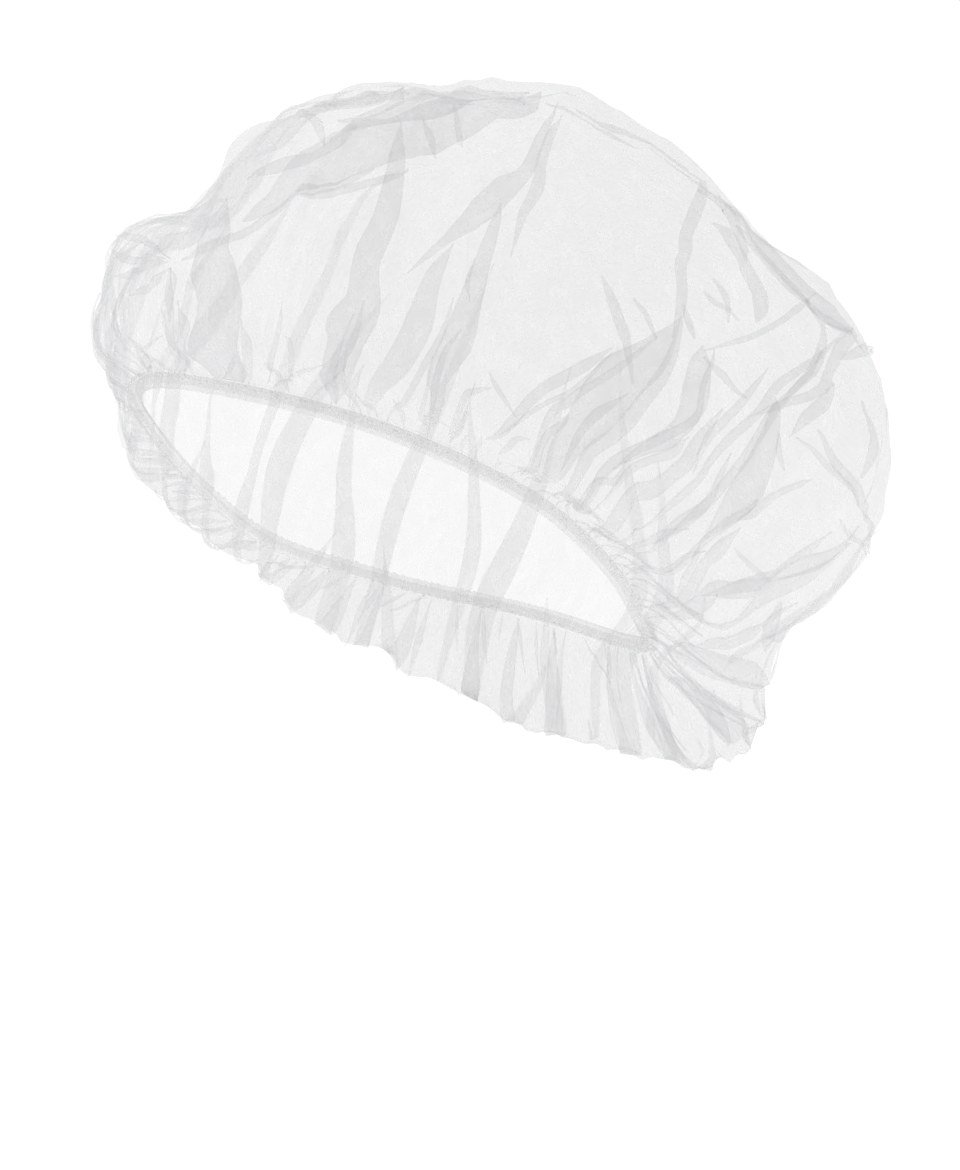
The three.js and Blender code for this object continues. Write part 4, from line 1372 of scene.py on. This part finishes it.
@dataclass
class ElasticBand:
    """The flat elastic tape inside the hem, drawn slightly wavy between the gathers."""

    form: BagForm
    hem: HemSizes
    casing: HemCasing
    columns: int = 720
    waves: int = 105
    wave_depth: float = 0.08
    chamfer: float = 0.2
    piece: bpy.types.Object | None = field(default=None, init=False)

    def build(self) -> bpy.types.Object:
        """Builds the band as a closed ring with rounded edges.

        Returns:
            The band.
        """
        around = np.arange(self.columns) / self.columns
        edge, upward, outward = self.casing.frame(around * len(self.form.angles))
        low = self.hem.cloth + self.hem.gap
        high = low + self.hem.elastic_width
        half = self.hem.elastic_thickness / 2
        cut = self.chamfer
        section = (
            (low + cut, half), (low, half - cut), (low, cut - half), (low + cut, -half),
            (high - cut, -half), (high, cut - half), (high, half - cut), (high - cut, half),
        )
        wave = self.wave_depth * np.sin(2 * np.pi * self.waves * around)
        rows = [edge + upward * up + outward * (out + wave)[:, None] for up, out in section]
        self.piece = swept_tape("elastic_tape", self.form, rows, closed=True)
        add_cloth_map(self.piece, tape_map(edge, [up for up, _ in section]))
        return self.piece

    def dress(self, finish: ElasticFinish) -> None:
        """Gives the band its finish and its place in the frame."""
        self.piece.data.materials.append(finish.material())
        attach(self.piece, "root")
        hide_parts("elastic_band")


@dataclass
class Studio:
    """Plain pale floor, soft white light and the camera."""

    floor_drop: float = 0.40
    floor_size: float = 240.0
    azimuth: float = 34.0
    elevation: float = 17.0
    distance: float = 1.3
    pixels_per_metre: float = 3130.0
    aim_pixel: Span = (402.5, 511.0)
    frame_pixels: tuple[int, int] = (960, 1170)
    sensor: float = 36
    floor_colour: Colour = (0.97, 0.97, 0.97)
    sky: float = 0.46
    key_power: float = 0.85
    key_from: Triple = (-1.5, -0.7, 1.3)
    key_spread: float = 30
    floor_power: float = 1.4
    floor_spread: float = 60
    clear_layers: int = 32
    bounces: int = 3

    def camera(self) -> None:
        """Places the camera so that the origin falls on the aim pixel at the stated scale."""
        a, e = math.radians(self.azimuth), math.radians(self.elevation)
        ahead = Vector((-math.sin(a) * math.cos(e), math.cos(a) * math.cos(e), -math.sin(e)))
        across = Vector((math.cos(a), math.sin(a), 0))
        upward = across.cross(ahead)
        data = bpy.data.cameras.new("camera")
        wide, tall = self.frame_pixels
        data.sensor_fit = "VERTICAL"
        data.sensor_height = self.sensor
        data.lens = data.sensor_height * self.pixels_per_metre * self.distance / tall
        data.shift_x = (wide / 2 - self.aim_pixel[0]) / tall
        data.shift_y = (self.aim_pixel[1] - tall / 2) / tall
        camera = bpy.data.objects.new("camera", data)
        turn = Matrix((across, upward, -ahead)).transposed().to_4x4()
        camera.matrix_world = Matrix.Translation(-ahead * self.distance) @ turn
        bpy.context.scene.collection.objects.link(camera)
        bpy.context.scene.camera = camera

    def _sun(self, name: str, towards: Triple, power: float, spread: float) -> bpy.types.Object:
        """A distant soft light.

        Args:
            name: the light's name.
            towards: direction from the cap to the light.
            power: its strength, in watts a square metre.
            spread: how wide it looks from the cap, in degrees.

        Returns:
            The light object.
        """
        data = bpy.data.lights.new(name, "SUN")
        data.energy = power
        data.angle = math.radians(spread)
        light = bpy.data.objects.new(name, data)
        light.rotation_euler = Vector(towards).to_track_quat("Z", "Y").to_euler()
        bpy.context.scene.collection.objects.link(light)
        return light

    def _floor(self) -> None:
        """A wide pale floor below the cap."""
        half = self.floor_size / 2
        corners = [(-half, -half), (half, -half), (half, half), (-half, half)]
        points = np.array([(x, y, -self.floor_drop) for x, y in corners])
        floor = mesh_piece("studio_floor", points, [[0, 1, 2, 3]])
        nodes = Nodes("studio_floor")
        face = nodes.add("ShaderNodeBsdfPrincipled")
        face.inputs["Base Color"].default_value = (*self.floor_colour, 1)
        face.inputs["Roughness"].default_value = 1.0
        face.inputs["Specular IOR Level"].default_value = 0.0
        floor.data.materials.append(nodes.finished(face))
        group = bpy.data.collections.new("studio_floor")
        group.objects.link(floor)
        light = self._sun("floor_light", (0, 0, 1), self.floor_power, self.floor_spread)
        light.light_linking.receiver_collection = group
        light.light_linking.blocker_collection = group

    def build(self) -> None:
        """Builds the floor, the light and the camera."""
        self._floor()
        world = bpy.data.worlds.new("studio")
        world.use_nodes = True
        sky = world.node_tree.nodes["Background"].inputs
        sky["Color"].default_value = (1, 1, 1, 1)
        sky["Strength"].default_value = self.sky
        bpy.context.scene.world = world
        self._sun("key_light", self.key_from, self.key_power, self.key_spread)
        view = bpy.context.scene.view_settings
        view.view_transform = "Standard"
        view.look = "None"
        light_paths = bpy.context.scene.cycles
        light_paths.transparent_max_bounces = self.clear_layers
        light_paths.max_bounces = self.bounces
        light_paths.caustics_reflective = light_paths.caustics_refractive = False
        self.camera()


CROWN_FINISH = NonwovenFinish(
    name="nonwoven_crown", colour=(0.890, 0.895, 0.902), shade=(0.860, 0.865, 0.873), cover=0.275,
    cloudiness=0.03, fibre_cover=0.012, bond_relief=0.12,
)
FOLD_FINISH = NonwovenFinish(
    name="nonwoven_laid_fold", colour=(0.890, 0.895, 0.902), shade=(0.860, 0.865, 0.873), cover=0.185,
    cloudiness=0.02, fibre_cover=0.012, bond_relief=0.12,
)
HEM_FINISH = NonwovenFinish(
    name="nonwoven_hem", colour=(0.885, 0.890, 0.895), shade=(0.85, 0.855, 0.862), cover=0.22,
    cloudiness=0.04, fibre_cover=0.04, bond_relief=0.25,
)


def main() -> None:
    """Builds the cap's pieces and the studio round them."""
    logging.basicConfig(level=logging.INFO, format="%(name)s: %(message)s")
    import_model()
    hem_sizes = HemSizes()
    crown = CrownSheet(form=BagForm(CrownSheet.columns), hem=hem_sizes)
    crown.build()
    crown.dress(CROWN_FINISH)
    LOG.info("crown sheet: %d faces", len(crown.piece.data.polygons))
    folds = LaidFolds(crown=crown)
    folds.build()
    folds.dress(FOLD_FINISH)
    LOG.info("laid folds: %d faces", len(folds.piece.data.polygons))
    casing = HemCasing(form=crown.form, hem=hem_sizes)
    casing.build()
    casing.dress(HEM_FINISH, WeldFinish())
    LOG.info("hem casing: %d faces, %d welds", len(casing.piece.data.polygons), casing.welds)
    band = ElasticBand(form=crown.form, hem=hem_sizes, casing=casing)
    band.build()
    band.dress(ElasticFinish())
    LOG.info("elastic band: %d faces", len(band.piece.data.polygons))
    Studio().build()
    LOG.info("studio built")


if __name__ == "__main__":
    main()
